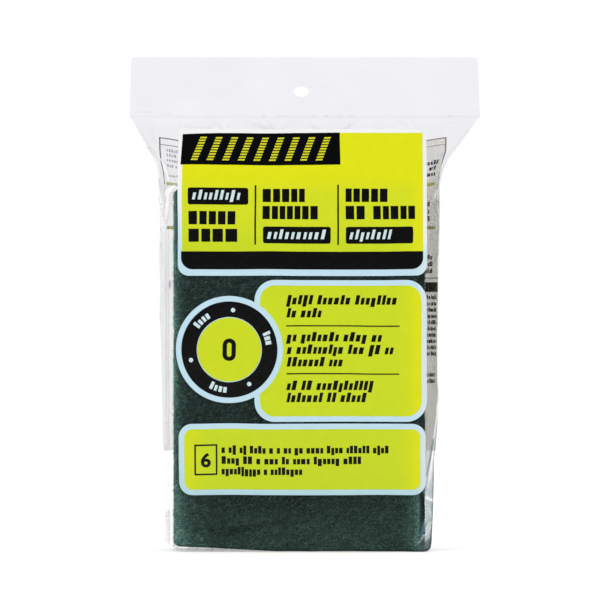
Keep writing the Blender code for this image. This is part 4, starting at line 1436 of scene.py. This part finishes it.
def make_floor():
    """White floor. It glows only for rays from the camera, off gloss and through clear film."""
    shape = bmesh.new()
    bmesh.ops.create_circle(shape, cap_ends=True, segments=96, radius=FLOOR_RADIUS)
    floor = shape_object("floor", shape)
    floor.location = (0.0, 0.0, -FLOOR_DROP)
    net = new_material("floor_white", 0.9, 0.0)
    rays = net.add("LightPath", {}).outputs
    seen = net.combine("MAXIMUM", rays["Is Camera Ray"], rays["Is Glossy Ray"])
    seen = net.combine("MAXIMUM", seen, rays["Is Transmission Ray"])
    net.feed(net.main, {"Base Color": (0.8, 0.8, 0.8, 1.0), "Emission Color": (1.0, 1.0, 1.0, 1.0),
                        "Emission Strength": net.combine("MULTIPLY", seen, FLOOR_GLOW)})
    floor.data.materials.append(net.owner)


def make_world():
    """White where it is seen, and a softer light on the object. Behind the camera it is dim."""
    world = bpy.data.worlds.new("studio")
    bpy.context.scene.world = world
    net = Net(world, "Background")
    rays = net.add("LightPath", {}).outputs
    direct = net.combine("MAXIMUM", rays["Is Camera Ray"], rays["Is Transmission Ray"])
    place = net.add("TexCoord", {}).outputs["Generated"]
    behind = net.spread(net.add("SeparateXYZ", {0: place}).outputs["Y"], -0.35, 0.35, 0.05, 0.35)
    gloss = net.combine("MULTIPLY", rays["Is Glossy Ray"], behind)
    soft = net.combine("MULTIPLY", net.combine("SUBTRACT", 1.0, rays["Is Glossy Ray"]), AMBIENT)
    strength = net.combine("MAXIMUM", net.combine("MAXIMUM", direct, gloss), soft)
    net.feed(net.main, {"Color": (1.0, 1.0, 1.0, 1.0), "Strength": strength})


def make_lamps():
    for name, place, size, power in LAMPS:
        lamp = bpy.data.lights.new(name, "AREA")
        lamp.size = size
        lamp.energy = power
        obj = add_object(name, lamp)
        obj.location = place
        obj.rotation_euler = (Vector(AIM) - Vector(place)).to_track_quat("-Z", "Y").to_euler()


def make_camera():
    lens = bpy.data.cameras.new("camera")
    lens.sensor_width = SENSOR
    lens.sensor_fit = "HORIZONTAL"
    lens.lens = SENSOR * CAMERA_DISTANCE / (FRAME_PIXELS * PIXEL_SIZE)
    lens.clip_end = 20.0
    camera = add_object("camera", lens)
    camera.location = Vector((CAMERA_X, -BODY_HALF_DEPTH - CAMERA_DISTANCE, CAMERA_LEVEL)) * MM
    camera.rotation_euler = (math.pi / 2, 0.0, 0.0)
    bpy.context.scene.camera = camera


def main():
    make_camera()
    make_floor()
    make_world()
    make_lamps()
    bpy.context.scene.view_settings.view_transform = "Standard"
    film, web, strand = film_material(), pad_material(), strand_material()
    inks = [(ink_material(f"{name}_print"), f"{name}_ink", None) for name in ("pale", "yellow", "black")]
    beige = ink_material("back_print", 0.5, opaque=False, glow_through=0.35)
    thin = ink_material("back_ink_print", 0.5, opaque=False)
    back_inks = [(material, f"{name}_ink", back_lay)
                 for material, name in ((beige, "pale"), (beige, "yellow"), (thin, "black"))]
    for number in range(1, PAD_COUNT + 1):
        make_pad(number, web)
    for fibres in FACE_FIBRES:
        make_face_fibres(*fibres, strand)
    for fibres in EDGE_FIBRES:
        make_edge_fibres(*fibres, strand)
    make_title(inks)
    make_notes(inks)
    make_grade(inks)
    make_count(inks)
    make_back_print(back_inks)
    make_film(film)
    make_ear(film)


main()
